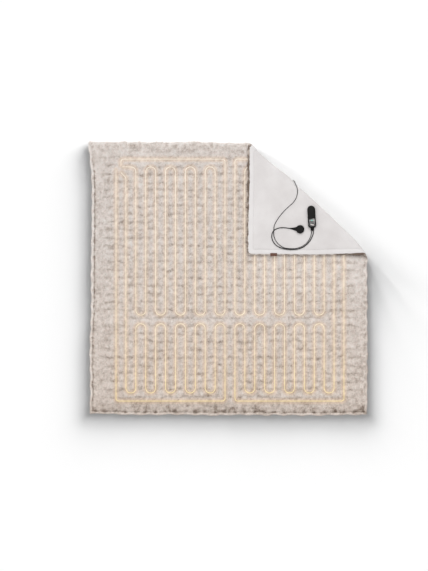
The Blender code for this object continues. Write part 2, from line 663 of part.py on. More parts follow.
def main():
    clear_scene()
    make_fur_panel()
    make_backing_panel()
    make_wires(finish("heating_wire", (0.93, 0.80, 0.52), 0.45))
    black = finish("satin_black", (0.012, 0.012, 0.013), 0.35)
    lead_black = finish("lead_black", (0.02, 0.02, 0.02), 0.5)
    make_leads(lead_black, finish("lead_grey", (0.09, 0.085, 0.085), 0.5))
    gloss = finish("gloss_black", (0.02, 0.021, 0.022), 0.08)
    white = finish("white_lamp", (0.75, 0.78, 0.78), 0.3)
    teal = finish("teal_lamp", (0.16, 0.62, 0.50), 0.3)
    pale = finish("pale_key", (0.50, 0.48, 0.47), 0.35)
    make_handset(black, gloss, white, teal, pale)
    make_connector(black)
    make_gland(finish("gland_grey", (0.55, 0.53, 0.52), 0.5))
    make_label(finish("brown_tape", (0.22, 0.12, 0.09), 0.8))


main()
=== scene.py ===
"""Looks of the electric heated blanket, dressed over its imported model.

The blanket lies fur side up with one corner folded over, so that its smooth velour back shows
there. The hand control, its two leads and a round connector lie on the folded corner.
"""

import json
import math

import bmesh
import bpy
import numpy as np
from mathutils import Matrix, Vector

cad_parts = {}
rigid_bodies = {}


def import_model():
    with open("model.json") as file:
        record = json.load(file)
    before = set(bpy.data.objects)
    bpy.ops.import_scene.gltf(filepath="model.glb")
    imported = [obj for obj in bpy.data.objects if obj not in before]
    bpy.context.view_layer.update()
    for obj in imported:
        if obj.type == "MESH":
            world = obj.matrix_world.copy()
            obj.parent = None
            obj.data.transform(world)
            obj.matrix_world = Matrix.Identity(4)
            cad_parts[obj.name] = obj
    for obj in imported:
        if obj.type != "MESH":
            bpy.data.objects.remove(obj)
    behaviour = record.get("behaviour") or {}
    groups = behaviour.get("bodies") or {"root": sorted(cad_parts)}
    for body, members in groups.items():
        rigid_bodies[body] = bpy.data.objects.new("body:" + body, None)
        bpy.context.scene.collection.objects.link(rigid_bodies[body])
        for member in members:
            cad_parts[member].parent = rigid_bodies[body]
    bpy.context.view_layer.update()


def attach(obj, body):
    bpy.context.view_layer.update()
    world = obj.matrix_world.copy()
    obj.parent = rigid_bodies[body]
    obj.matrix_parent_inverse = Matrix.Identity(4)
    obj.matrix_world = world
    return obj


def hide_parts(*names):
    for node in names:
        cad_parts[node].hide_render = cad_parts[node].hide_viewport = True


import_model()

# Camera
# A long lens straight above the blanket, as in the photograph, which shows 3.086 m of the floor
# from top to bottom.

METRES_PER_PIXEL = 0.005405
PICTURE_HEIGHT = 571
LENS = 135
SENSOR = 36
PILE_LEVEL = 0.013  # the height at which the picture's scale holds
PICTURE_MIDDLE = (-0.0816, -0.0373)  # the place that the camera looks straight down on


def set_down(name, data):
    """A new object of this name in the scene, made of this data."""
    made = bpy.data.objects.new(name, data)
    bpy.context.scene.collection.objects.link(made)
    return made


camera_data = bpy.data.cameras.new("camera_above")
camera_data.lens = LENS
camera_data.sensor_width = SENSOR
camera_data.clip_end = 60
camera = set_down("camera_above", camera_data)
camera_rise = METRES_PER_PIXEL * PICTURE_HEIGHT * LENS / SENSOR
camera.location = (*PICTURE_MIDDLE, PILE_LEVEL + camera_rise)
bpy.context.scene.camera = camera

# Leads
# Two round leads with a soft rubbery jacket, laid loose on the folded corner: a thin one from the
# gland at the fold to the hand control, and a thicker one from the hand control to the round
# connector.

POWER_LEAD_DIAMETER = 0.0045
# From the hand control to the round connector, along the lead's middle
POWER_LEAD = (
    (0.4546, 0.2566, 0.0396), (0.4534, 0.2430, 0.0396), (0.4484, 0.2280, 0.0396),
    (0.4370, 0.2055, 0.0396), (0.4205, 0.1860, 0.0396), (0.4000, 0.1705, 0.0396),
    (0.3760, 0.1608, 0.0396), (0.3500, 0.1565, 0.0396), (0.3230, 0.1568, 0.0396),
    (0.2970, 0.1608, 0.0396), (0.2720, 0.1685, 0.0396), (0.2520, 0.1810, 0.0396),
    (0.2385, 0.1975, 0.0396), (0.2315, 0.2147, 0.0396), (0.2298, 0.2302, 0.0396),
    (0.2328, 0.2455, 0.0396), (0.2408, 0.2584, 0.0396), (0.2548, 0.2680, 0.0396),
    (0.2730, 0.2732, 0.0396), (0.2930, 0.2745, 0.0396), (0.3080, 0.2732, 0.0396),
    (0.3190, 0.2714, 0.0400), (0.3264, 0.2706, 0.0403),
)
BLANKET_LEAD_DIAMETER = 0.0035
# From the gland at the fold to the hand control
BLANKET_LEAD = (
    (0.3509, 0.5264, 0.0236), (0.3519, 0.5244, 0.0280), (0.3555, 0.5170, 0.0327),
    (0.3601, 0.5060, 0.0367), (0.3650, 0.4930, 0.0388), (0.3687, 0.4790, 0.0392),
    (0.3690, 0.4690, 0.0391), (0.3665, 0.4520, 0.0391), (0.3603, 0.4330, 0.0391),
    (0.3500, 0.4155, 0.0391), (0.3355, 0.4003, 0.0391), (0.3195, 0.3860, 0.0391),
    (0.3013, 0.3690, 0.0391), (0.2835, 0.3496, 0.0391), (0.2675, 0.3290, 0.0391),
    (0.2540, 0.3080, 0.0391), (0.2462, 0.2925, 0.0394), (0.2422, 0.2800, 0.0408),
    (0.2408, 0.2700, 0.0432), (0.2402, 0.2595, 0.0442), (0.2400, 0.2490, 0.0431),
    (0.2402, 0.2390, 0.0405), (0.2418, 0.2270, 0.0392), (0.2460, 0.2145, 0.0391),
    (0.2525, 0.2025, 0.0391), (0.2620, 0.1900, 0.0391), (0.2750, 0.1785, 0.0391),
    (0.2980, 0.1662, 0.0391), (0.3225, 0.1620, 0.0391), (0.3490, 0.1618, 0.0391),
    (0.3735, 0.1658, 0.0391), (0.3963, 0.1750, 0.0391), (0.4160, 0.1900, 0.0391),
    (0.4310, 0.2090, 0.0391), (0.4402, 0.2295, 0.0391), (0.4431, 0.2435, 0.0391),
    (0.4436, 0.2560, 0.0391),
)


class Reading:
    """A number that a material works out over the surface; arithmetic on it adds Math nodes."""

    def __init__(self, finish, socket):
        self.finish = finish
        self.socket = socket

    def math(self, operation, *values):
        return self.finish.node("ShaderNodeMath", {"operation": operation}, dict(enumerate(values)))

    def __add__(self, other):
        return self.math("ADD", self, other)

    def __radd__(self, other):
        return self.math("ADD", other, self)

    def __sub__(self, other):
        return self.math("SUBTRACT", self, other)

    def __rsub__(self, other):
        return self.math("SUBTRACT", other, self)

    def __mul__(self, other):
        return self.math("MULTIPLY", self, other)

    def __rmul__(self, other):
        return self.math("MULTIPLY", other, self)

    def __pow__(self, other):
        return self.math("POWER", self, other)

    def __rpow__(self, other):
        return self.math("POWER", other, self)


class Finish:
    """A material made from nodes, with the constants of its Principled shader."""

    def __init__(self, name, **constants):
        self.material = bpy.data.materials.new(name)
        self.material.use_nodes = True
        self.tree = self.material.node_tree
        self.shader = self.tree.nodes["Principled BSDF"]
        for socket, value in constants.items():
            self.shader.inputs[socket.replace("_", " ")].default_value = value

    def node(self, kind, settings=None, sockets=None, output=0):
        """One node: its type, its settings, then the values or readings that its sockets take."""
        made = self.tree.nodes.new(kind)
        for name, value in (settings or {}).items():
            if name == "stops":
                while len(made.color_ramp.elements) < len(value):
                    made.color_ramp.elements.new(1.0)
                for element, (place, colour) in zip(made.color_ramp.elements, value):
                    element.position = place
                    element.color = (*colour, 1)
            else:
                setattr(made, name, value)
        for name, value in (sockets or {}).items():
            if isinstance(value, Reading):
                self.tree.links.new(value.socket, made.inputs[name])
            else:
                made.inputs[name].default_value = value
        return Reading(self, made.outputs[output])

    def place(self):
        return self.node("ShaderNodeTexCoord", output="Object")

    def noise(self, scale, detail, roughness=0.5):
        sockets = {
            "Vector": self.place(), "Scale": scale, "Detail": detail, "Roughness": roughness,
        }
        return self.node("ShaderNodeTexNoise", {"noise_dimensions": "3D"}, sockets)

    def ramp(self, factor, stops):
        return self.node("ShaderNodeValToRGB", {"stops": stops}, {"Fac": factor})

    def blend(self, factor, first, second, how="MIX"):
        """The first colour where the factor is 0, the second, mixed in this way, where it is 1."""
        settings = {"data_type": "RGBA", "blend_type": how}
        return self.node("ShaderNodeMix", settings, {0: factor, 6: first, 7: second}, 2)

    def bump(self, height, distance, strength):
        sockets = {"Height": height, "Distance": distance, "Strength": strength}
        return self.node("ShaderNodeBump", None, sockets)

    def feed(self, **readings):
        """Links readings to the shader's own sockets."""
        for socket, reading in readings.items():
            self.tree.links.new(reading.socket, self.shader.inputs[socket.replace("_", " ")])
        return self.material


def jacket(name, dark, light):
    """Soft rubber: nearly even, a little dusty, with a fine orange-peel surface."""
    finish = Finish(name, Specular_IOR_Level=0.16)
    dust = finish.noise(180, 3)
    colour = finish.ramp(dust, ((0.35, dark), (0.75, light)))
    bump = finish.bump(finish.noise(1400, 2), 0.0002, 0.35)
    return finish.feed(Base_Color=colour, Roughness=0.45 + 0.25 * dust, Normal=bump)


def lay_lead(name, route, diameter, material, node):
    """A round lead along its route, which stands for the plain tube."""
    curve = bpy.data.curves.new(name, "CURVE")
    curve.dimensions = "3D"
    curve.bevel_depth = diameter / 2
    curve.bevel_resolution = 4
    curve.resolution_u = 8
    curve.use_fill_caps = True
    spline = curve.splines.new("BEZIER")
    spline.bezier_points.add(len(route) - 1)
    for point, place in zip(spline.bezier_points, route):
        point.co = place
        point.handle_left_type = point.handle_right_type = "AUTO"
    curve.materials.append(material)
    lead = set_down(name, curve)
    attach(lead, "root")
    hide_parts(node)
    return lead


power_lead = lay_lead(
    "flex_to_connector", POWER_LEAD, POWER_LEAD_DIAMETER,
    jacket("black_jacket", (0.0025, 0.0024, 0.0024), (0.008, 0.0075, 0.0075)), "power_lead",
)
blanket_lead = lay_lead(
    "flex_from_blanket", BLANKET_LEAD, BLANKET_LEAD_DIAMETER,
    jacket("grey_jacket", (0.004, 0.0036, 0.0035), (0.014, 0.0125, 0.012)), "blanket_lead",
)

# Folded corner
# The whole blanket is first drawn flat, then its top right corner is carried round a soft bend and
# laid back on the fur. The two cloths, their stitches, the pile and the heating wires all follow
# this one fold.

WIDTH = 1.500
LENGTH = 1.470
FOLD_TOP = np.array((0.121, 0.735))  # where the crease starts, and where it ends
FOLD_SIDE = np.array((0.750, 0.108))
FOLD_RADIUS = 0.0185
FOLD_LENGTH = math.pi * (FOLD_RADIUS - 0.0015)  # of cloth in the bend, at the velour's middle
FOLD_ALONG = (FOLD_SIDE - FOLD_TOP) / np.linalg.norm(FOLD_SIDE - FOLD_TOP)
FOLD_OUT = np.array((-FOLD_ALONG[1], FOLD_ALONG[0]))
# How the crease sways out of its straight line: place along it, distance
FOLD_SWAY = (
    (0.000, -0.002), (0.031, -0.005), (0.086, -0.009), (0.187, 0.000), (0.269, 0.0125),
    (0.351, 0.0107), (0.426, 0.0159), (0.518, 0.0191), (0.682, 0.0226), (0.763, 0.0225),
    (0.849, 0.0160), (0.880, 0.005), (0.907, 0.0),
)
SWAY_SOFTENING = 0.030  # over which the fold's edge is smoothed
SWAY_FADE_UNDER, SWAY_FADE_FLAP = 0.060, 0.150  # how far into each cloth the sway reaches
FLAP_STRETCH = 1.052  # how much longer the flap lies than the cloth that makes it
FLAP_SHEAR = -0.037  # how far the flap leans along the crease for each metre away from it
FLAP_SLIDE = ((0.035, -0.036), (0.853, 0.006))  # place along the crease, how far the flap slides
# How far each edge is drawn in from its straight line: place along it, distance
LEFT_DRAWN_IN = (
    (-0.718, -0.0030), (-0.629, 0.0012), (-0.540, 0.0016), (-0.451, -0.0010), (-0.362, -0.0014),
    (-0.272, 0.0038), (-0.183, 0.0056), (-0.060, 0.0054), (0.020, 0.0050), (0.155, 0.0060),
    (0.284, 0.0078), (0.425, 0.0086), (0.506, 0.0088), (0.571, 0.0050), (0.630, 0.0022),
    (0.668, -0.0040), (0.735, -0.0085),
)
RIGHT_DRAWN_IN = (
    (-0.713, 0.0055), (-0.624, 0.0045), (-0.535, 0.0048), (-0.446, 0.0040), (-0.357, 0.0036),
    (-0.269, 0.0052), (-0.180, 0.0044), (-0.002, 0.0046), (0.080, 0.0054), (0.125, 0.0016),
    (0.200, 0.0010), (0.260, 0.0044), (0.300, 0.0060), (0.400, 0.0075), (0.500, 0.0078),
    (0.600, 0.0066), (0.700, 0.0050),
)
TOP_DRAWN_IN = (
    (-0.733, -0.0045), (-0.676, -0.0018), (-0.611, -0.0012), (-0.546, -0.0026), (-0.482, -0.0020),
    (-0.417, -0.0002), (-0.352, 0.0004), (-0.287, -0.0006), (-0.222, -0.0030), (-0.157, -0.0020),
    (-0.092, -0.0004), (-0.028, 0.0024), (0.037, 0.0040), (0.085, 0.0034), (0.125, 0.0010),
    (0.200, 0.0000), (0.300, -0.0012), (0.400, -0.0012), (0.500, -0.0018), (0.600, -0.0024),
    (0.735, -0.0016),
)
BOTTOM_DRAWN_IN = (
    (-0.733, 0.0052), (-0.641, 0.0060), (-0.549, 0.0006), (-0.457, -0.0002), (-0.365, 0.0018),
    (-0.273, 0.0015), (-0.182, 0.0002), (-0.090, -0.0022), (0.002, -0.0007), (0.094, 0.0),
    (0.186, -0.0015), (0.278, -0.0012), (0.370, -0.0025), (0.462, -0.0030), (0.553, 0.0),
    (0.645, 0.0004), (0.737, 0.0008),
)
EDGE_SWAY_REACH = 0.080  # how far in from the edge the cloth is drawn with it
EDGE_SOFTENING = (-0.030, -0.015, 0.0, 0.015, 0.030)  # places along an edge that are averaged
LATTICE = 64  # random values a side, after which the patches made from them repeat
LATTICE_SHIFT = 1000  # keeps every place on the lattice above 0


def read_off(table, place):
    """What a table of (place, value) rows gives at these places."""
    return np.interp(place, *zip(*table))


sway_at = np.linspace(-0.2, 1.2, 701)  # along the crease, from before its start to past its end
sway_by = read_off(FOLD_SWAY, sway_at)
softener = np.hanning(2 * round(SWAY_SOFTENING / (sway_at[1] - sway_at[0])) + 1)
sway_by = np.pad(sway_by, len(softener) // 2, "edge")
sway_by = np.convolve(sway_by, softener / softener.sum(), "valid")


def past_crease(x, y):
    """How far points of the flat cloth lie past the crease, and how far along it."""
    across, up = x - FOLD_TOP[0], y - FOLD_TOP[1]
    past = across * FOLD_OUT[0] + up * FOLD_OUT[1] + FOLD_RADIUS
    return past, across * FOLD_ALONG[0] + up * FOLD_ALONG[1]


def turned_over(x, y):
    """How far the cloth is turned over at the folded corner: 0 on the floor, 1 upside down."""
    return (past_crease(x, y)[0] / FOLD_LENGTH).clip(0, 1)


def folded(x, y, z):
    """Where points of the flat blanket, z above the floor, lie once the corner is folded over."""
    past, along = past_crease(x, y)
    over = np.maximum(past - FOLD_LENGTH, 0)
    angle = np.clip(past / FOLD_LENGTH, 0, 1) * math.pi
    out = np.minimum(past, 0) + (FOLD_RADIUS - z) * np.sin(angle) - FLAP_STRETCH * over
    height = FOLD_RADIUS - (FOLD_RADIUS - z) * np.cos(angle)
    fade = np.where(past < 0, 1 + past / SWAY_FADE_UNDER, 1 - over / SWAY_FADE_FLAP).clip(0)
    on_flap = (2 * past / FOLD_LENGTH - 1).clip(0, 1)
    slide = on_flap * read_off(FLAP_SLIDE, along) + FLAP_SHEAR * over
    out = out - FOLD_RADIUS + np.interp(along, sway_at, sway_by) * fade
    along = along + slide
    return np.stack(
        (
            FOLD_TOP[0] + along * FOLD_ALONG[0] + out * FOLD_OUT[0],
            FOLD_TOP[1] + along * FOLD_ALONG[1] + out * FOLD_OUT[1],
            height,
        ),
        axis=-1,
    )


def drawn_in(place, table):
    """How far an edge is drawn in, this far along it."""
    softened = sum(read_off(table, place + shift) for shift in EDGE_SOFTENING)
    return softened / len(EDGE_SOFTENING)


def insets(x, y):
    """How far points of the flat cloth are from its sides and from its ends."""
    return WIDTH / 2 - np.abs(x), LENGTH / 2 - np.abs(y)


def wandering(x, y):
    """The blanket's edges, wandering in and out a little as cut and washed cloth does."""
    side = np.where(x > 0, drawn_in(y, RIGHT_DRAWN_IN), -drawn_in(y, LEFT_DRAWN_IN))
    end = np.where(y > 0, drawn_in(x, TOP_DRAWN_IN), -drawn_in(x, BOTTOM_DRAWN_IN))
    near_x, near_y = ((1 - inset / EDGE_SWAY_REACH).clip(0) for inset in insets(x, y))
    return x - side * near_x, y - end * near_y


def rising(distance, reach):
    """From 0 at no distance to 1 at this reach and beyond."""
    return (distance / reach).clip(0, 1)


def fading(distance, reach):
    """From 1 at no distance to 0 at this reach and beyond."""
    return (1 - distance / reach).clip(0, 1)


def patches(x, y, size, seed):
    """Soft random patches of about this size, from 0 to 1."""
    lattice = np.random.default_rng(seed).random((LATTICE, LATTICE))
    column, row = x / size + LATTICE_SHIFT, y / size + LATTICE_SHIFT
    left, low = np.floor(column).astype(int), np.floor(row).astype(int)
    across, up = column - left, row - low
    across, up = across * across * (3 - 2 * across), up * up * (3 - 2 * up)
    right, high = (left + 1) % LATTICE, (low + 1) % LATTICE
    left, low = left % LATTICE, low % LATTICE
    bottom = lattice[left, low] * (1 - across) + lattice[right, low] * across
    top = lattice[left, high] * (1 - across) + lattice[right, high] * across
    return bottom * (1 - up) + top * up


def layered(x, y, layers, middle=0.0):
    """Patches of several sizes over one another; a layer is its strength, size and seed."""
    return sum(strength * (patches(x, y, size, seed) - middle) for strength, size, seed in layers)


def rounded_corners(x, y, inset_x, inset_y, radius):
    """Draws square corners in to round ones of this radius."""
    reach_x, reach_y = fading(inset_x, radius), fading(inset_y, radius)
    return (
        x - np.sign(x) * radius * reach_x * (1 - np.sqrt(1 - reach_y**2 / 2)),
        y - np.sign(y) * radius * reach_y * (1 - np.sqrt(1 - reach_x**2 / 2)),
    )


def add_mesh(name, points, faces, material, values=None, uv=None):
    """A smooth mesh whose faces all have as many corners, with named values at its points."""
    mesh = bpy.data.meshes.new(name)
    mesh.vertices.add(len(points))
    mesh.vertices.foreach_set("co", np.asarray(points, np.float32).ravel())
    corners = faces.shape[1]
    mesh.loops.add(faces.size)
    mesh.loops.foreach_set("vertex_index", faces.astype(np.int32).ravel())
    mesh.polygons.add(len(faces))
    mesh.polygons.foreach_set("loop_start", np.arange(0, faces.size, corners, dtype=np.int32))
    mesh.polygons.foreach_set("use_smooth", np.ones(len(faces), bool))
    for value, at_points in (values or {}).items():
        layer = mesh.attributes.new(value, "FLOAT", "POINT")
        layer.data.foreach_set("value", np.asarray(at_points, np.float32).ravel())
    if uv is not None:
        at_corners = uv[faces.ravel()].astype(np.float32)
        mesh.uv_layers.new(name="OFBake").uv.foreach_set("vector", at_corners.ravel())
    mesh.materials.append(material)
    mesh.update(calc_edges=True)
    mesh.validate()
    piece = set_down(name, mesh)
    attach(piece, "root")
    return piece


def grid_faces(rows, columns, turned=False):
    """Four-cornered faces over points in rows of this many columns."""
    first = (np.arange(rows - 1)[:, None] * columns + np.arange(columns - 1)[None]).ravel()
    faces = np.stack((first, first + 1, first + columns + 1, first + columns), axis=1)
    return faces[:, ::-1] if turned else faces


# Velour back
# A smooth, close-cropped velour in warm light grey, sewn to the fur 9.5 mm inside its edge, with a
# pressed border and one row of stitches. It lies on the floor, comes round the fold and shows on
# the folded corner.

VELOUR_INSET = 0.0095
# Distance in from the blanket's edge, height above the floor: turned-in edge, border, stitched
# groove, field
VELOUR_RIM = (
    (0.0135, 0.0032), (0.0105, 0.0030), (0.0094, 0.0022), (0.0093, 0.0012), (0.0100, 0.0004),
    (0.0120, 0.0), (0.0180, 0.0), (0.0240, 0.0002), (0.0275, 0.0005), (0.0290, 0.0015),
    (0.0300, 0.0018), (0.0310, 0.0015), (0.0330, 0.0006), (0.0380, 0.0),
)
VELOUR_CORNER = 0.016
# Where the velour's edge lies along the folded corner's two edges: place along them, distance in
TOP_VELOUR = (
    (0.040, 0.0095), (0.085, 0.0005), (0.135, 0.0010), (0.175, 0.0085), (0.240, 0.0070),
    (0.390, 0.0078), (0.445, 0.0060), (0.600, 0.0050), (0.750, 0.0062),
)
SIDE_VELOUR = (
    (0.050, 0.0095), (0.110, 0.0120), (0.160, 0.0110), (0.205, 0.0085), (0.240, 0.0060),
    (0.290, 0.0046), (0.600, 0.0040), (0.735, 0.0052),
)
VELOUR_GIVE = 0.026  # how far in from its edge the velour is shifted with it
TOP_GATHER = 0.0034  # how far the velour's upper edge is drawn in and out by its stitches
SIDE_GATHER = 0.6 * TOP_GATHER
TOP_GATHERS = ((0.8, 0.021, 9), (0.9, 0.009, 10))  # strength, size and seed of each layer
TOP_GATHERS_MIDDLE = 0.85
BORDER_WIDTH = 0.0300
BORDER_BLUR = 0.002  # over which the pressed border turns into the field
FINE_STEP, COARSE_STEP = 0.006, 0.016
FINE_FROM = 0.040  # the folded corner's side of the blanket starts here, across and along
SOFT_WAVES = 0.0016  # how far the folded velour rises and falls
WAVE_LAYERS = ((0.55, 0.105, 5), (0.30, 0.046, 6), (0.15, 0.021, 7))
BAKE_MARGIN = 0.02  # left free round the cloth in the square picture of its colours


def stations(half, rim, fine, coarse, fine_from):
    """(place, distance in from the edge, row of the rim) across a cloth, edge to edge.

    The field between the rims has the row after the rim's last.
    """
    inner = half - rim[-1][0]
    left = [(-half + inset, inset, row) for row, (inset, _) in enumerate(rim)]
    right = [(half - inset, inset, row) for row, (inset, _) in enumerate(rim)][::-1]
    plain = np.linspace(-inner, fine_from, max(2, round((inner + fine_from) / coarse)) + 1)[1:]
    close = np.linspace(fine_from, inner, max(2, round((inner - fine_from) / fine)) + 1)[1:-1]
    middle = [(place, half - abs(place), len(rim)) for place in (*plain, *close)]
    return np.array(left + middle + right)


def spread_out(rim, fine, coarse, fine_from):
    """A flat cloth's points: x, y, distances in from its sides and ends, and rows of its rim."""
    across = stations(WIDTH / 2, rim, fine, coarse, fine_from)
    along = stations(LENGTH / 2, rim, fine, coarse, fine_from)
    x, y = np.meshgrid(across[:, 0], along[:, 0])
    inset_x, inset_y = np.meshgrid(across[:, 1], along[:, 1])
    row = np.minimum(*np.meshgrid(across[:, 2], along[:, 2])).astype(int)
    return x, y, inset_x, inset_y, row


def bake_places(x, y):
    """Where a cloth's points lie in the square picture that its colours are baked into."""
    places = np.stack((x / WIDTH + 0.5, y / WIDTH + 0.5), axis=-1).reshape(-1, 2)
    return places * (1 - 2 * BAKE_MARGIN) + BAKE_MARGIN


def eased(x, y, inset_x, inset_y):
    """The velour's edge at the folded corner, eased towards the fur's edge and gathered."""
    side_share = np.where(x > 0, fading(inset_x - VELOUR_INSET, VELOUR_GIVE), 0)
    top_share = np.where(y > 0, fading(inset_y - VELOUR_INSET, VELOUR_GIVE), 0)
    side_shift = read_off(SIDE_VELOUR, y) - VELOUR_INSET
    top_shift = read_off(TOP_VELOUR, x) - VELOUR_INSET
    side_shift = side_shift + SIDE_GATHER * (patches(y, y, 0.019, 8) - 0.5)
    top_shift = top_shift + TOP_GATHER * (layered(x, x, TOP_GATHERS) - TOP_GATHERS_MIDDLE)
    return x - side_shift * side_share, y - top_shift * top_share


def velour():
    """The velour's whole sheet, border, soft waves and all."""
    x, y, inset_x, inset_y, row = spread_out(VELOUR_RIM, FINE_STEP, COARSE_STEP, FINE_FROM)
    z = np.array([height for _, height in VELOUR_RIM] + [0.0])[row]
    x, y = rounded_corners(x, y, inset_x - VELOUR_INSET, inset_y - VELOUR_INSET, VELOUR_CORNER)
    border = fading(np.minimum(inset_x, inset_y) - BORDER_WIDTH, BORDER_BLUR)
    x, y = wandering(*eased(x, y, inset_x, inset_y))
    z = z + SOFT_WAVES * turned_over(x, y) * layered(x, y, WAVE_LAYERS)
    points = folded(x, y, z).reshape(-1, 3)
    finish = Finish(
        "warm_grey_velour", Sheen_Weight=0.35, Sheen_Roughness=0.45, Specular_IOR_Level=0.2
    )
    brushed = finish.noise(9.0, 3, 0.55)
    nap = finish.noise(620, 2, 0.6)
    tone = 0.7 * brushed + 0.3 * nap
    field = finish.ramp(tone, ((0.36, (0.700, 0.668, 0.660)), (0.64, (0.785, 0.758, 0.750))))
    pressed = finish.node("ShaderNodeAttribute", {"attribute_name": "border"}, output="Fac")
    colour = finish.blend(pressed * 0.36, field, (0.860, 0.840, 0.834, 1))
    bump = finish.bump(nap, 0.0004, 0.35)
    material = finish.feed(Base_Color=colour, Roughness=0.78 + 0.2 * nap, Normal=bump)
    faces = grid_faces(*x.shape, turned=True)
    return add_mesh(
        "velour_back", points, faces, material, values={"border": border}, uv=bake_places(x, y)
    )


velour_back = velour()
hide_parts("backing_panel")

# Border stitches
# One row of lockstitches in matching thread, 30 mm in from the blanket's edge, which holds the
# velour's turned-in border. The thread sits in the groove that it pulls into the pile.

STITCH_LENGTH, STITCH_PITCH = 0.0031, 0.0045
THREAD_RADIUS = 0.0004
THREAD_SIDES = 4
STITCH_LEVEL = 0.0010  # above the floor, where the velour's back faces down
# Share of the stitch's half length, and of the thread's radius, from end to end
STITCH_STEPS = ((-1.0, 0.3), (-0.7, 1.0), (0.7, 1.0), (1.0, 0.3))


def tube_faces(rings, sides):
    """The skin of a tube over this many rings of points, facing outwards."""
    ring, side = np.meshgrid(np.arange(rings - 1) * sides, np.arange(sides), indexing="ij")
    first, after = (ring + side).ravel(), (ring + (side + 1) % sides).ravel()
    return np.stack((first, after, after + sides, first + sides), axis=1)


def stitches(name, material):
    """Short lengths of thread along all four sides of the border."""
    half_x, half_y = WIDTH / 2 - BORDER_WIDTH, LENGTH / 2 - BORDER_WIDTH
    count_x, count_y = round(2 * half_x / STITCH_PITCH), round(2 * half_y / STITCH_PITCH)
    run_x = (np.arange(count_x) + 0.5) / count_x * 2 * half_x - half_x
    run_y = (np.arange(count_y) + 0.5) / count_y * 2 * half_y - half_y
    x = np.concatenate((run_x, run_x, np.full(count_y, -half_x), np.full(count_y, half_x)))
    y = np.concatenate((np.full(count_x, -half_y), np.full(count_x, half_y), run_y, run_y))
    ahead_x = np.repeat((1.0, 0.0), (2 * count_x, 2 * count_y))
    ahead_y = 1 - ahead_x
    rings = []
    for place, thick in STITCH_STEPS:
        for angle in np.radians(np.arange(THREAD_SIDES) * 360 / THREAD_SIDES):
            along = place * STITCH_LENGTH / 2
            aside = thick * THREAD_RADIUS * math.cos(angle)
            point_x = x + along * ahead_x - aside * ahead_y
            point_y = y + along * ahead_y + aside * ahead_x
            point_x, point_y = wandering(*eased(point_x, point_y, *insets(point_x, point_y)))
            rise = SOFT_WAVES * turned_over(point_x, point_y) * 0.5  # on the middle of the waves
            level = STITCH_LEVEL + rise + thick * THREAD_RADIUS * math.sin(angle)
            rings.append(folded(point_x, point_y, level))
    points = np.stack(rings, axis=1)
    first = len(rings) * np.arange(len(x))[:, None]
    skin = (*tube_faces(len(STITCH_STEPS), THREAD_SIDES), (3, 2, 1, 0), (12, 13, 14, 15))
    faces = np.concatenate([first + [quad] for quad in skin])
    return add_mesh(name, points.reshape(-1, 3), faces, material)


thread = Finish("grey_thread", Roughness=0.7, Specular_IOR_Level=0.3)
twist = thread.noise(900, 2)
thread.feed(
    Base_Color=thread.ramp(twist, ((0.3, (0.560, 0.530, 0.520)), (0.7, (0.680, 0.655, 0.645)))),
    Normal=thread.bump(twist, 0.0002, 0.4),
)
border_stitches = stitches("border_stitches", thread.material)

# Heating wires
# Four fine heating wires run up and down the ribs in hairpins, two for each half of the blanket.
# They glow through the pile, cream at the top and deeper gold towards the lower edge, and their
# glow is painted into the colour of the fur beside them.

WIRE_DIAMETER = 0.0025
WIRE_LEVEL = 0.0154  # of its middle above the floor
WIRE_WAVER = 0.0008  # how far the wires rise and sink in the pile
OUTER_TURN = 0.014  # radius of the turns beside the outer runs
TOP_RUN, BOTTOM_RUN = 0.6455, -0.6616  # Y of the straight runs along the two ends
UPPER_TIPS = (0.6037, -0.1973)  # Y of the upper wires' hairpin turns
LOWER_TIPS = (-0.2438, -0.6183)
UPPER_START, LOWER_START = 0.612, 0.588  # Y where the wires start
UPPER_END_SHIFT = 0.006
LOWER_END_BEND, LOWER_END = 0.545, 0.5735
END_TURN = 0.012
RIBS = 26
RIB_PITCH = 0.05356
RIB_CENTRE = 0.0048  # the ribs and wires are laid out on both sides of this line
TURN_STEP = math.radians(12)  # between the points round a turn
WIRE_STEP = 0.011  # the longest between the points of a straight run
WIRE_SIDES = 6
CREAM, STRAW, GOLD = (0.94, 0.925, 0.845), (0.93, 0.870, 0.660), (0.95, 0.850, 0.440)
WARM_MAP_STEP = 0.0025
WARM_REACH = 0.019  # how far from a wire its warm glow shows in the fur


def rib_line(number):
    """X of a rib's middle, where its wire lies; the first rib on the left is 0."""
    return RIB_CENTRE + (number - (RIBS - 1) / 2) * RIB_PITCH


def rounded_path(corners):
    """Even points along straight runs, each corner (x, y, radius) rounded off."""
    path = [Vector(corners[0][:2])]
    for before, corner, after in zip(corners, corners[1:], corners[2:]):
        here = Vector(corner[:2])
        back = (Vector(before[:2]) - here).normalized()
        ahead = (Vector(after[:2]) - here).normalized()
        half = back.angle(ahead) / 2
        centre = here + (back + ahead).normalized() * corner[2] / math.sin(half)
        start = here + back * corner[2] / math.tan(half) - centre
        end = here + ahead * corner[2] / math.tan(half) - centre
        turn = start.angle_signed(end)
        steps = max(2, round(abs(turn) / TURN_STEP))
        for step in range(steps + 1):
            path.append(centre + Matrix.Rotation(-turn * step / steps, 2) @ start)
    path.append(Vector(corners[-1][:2]))
    points = [path[0]]
    for start, end in zip(path, path[1:]):
        pieces = max(1, math.ceil((end - start).length / WIRE_STEP))
        if (end - start).length > 1e-5:
            points += [start.lerp(end, piece / pieces) for piece in range(1, pieces + 1)]
    return np.array(points)


def hairpins(numbers, first_tip, other_tip):
    """Corners of a wire that runs up and down the numbered ribs, from one tip to the other."""
    corners = []
    for index, (number, after) in enumerate(zip(numbers, numbers[1:])):
        tip = (first_tip, other_tip)[index % 2]
        corners += [(rib_line(number), tip, RIB_PITCH / 2), (rib_line(after), tip, RIB_PITCH / 2)]
    return corners


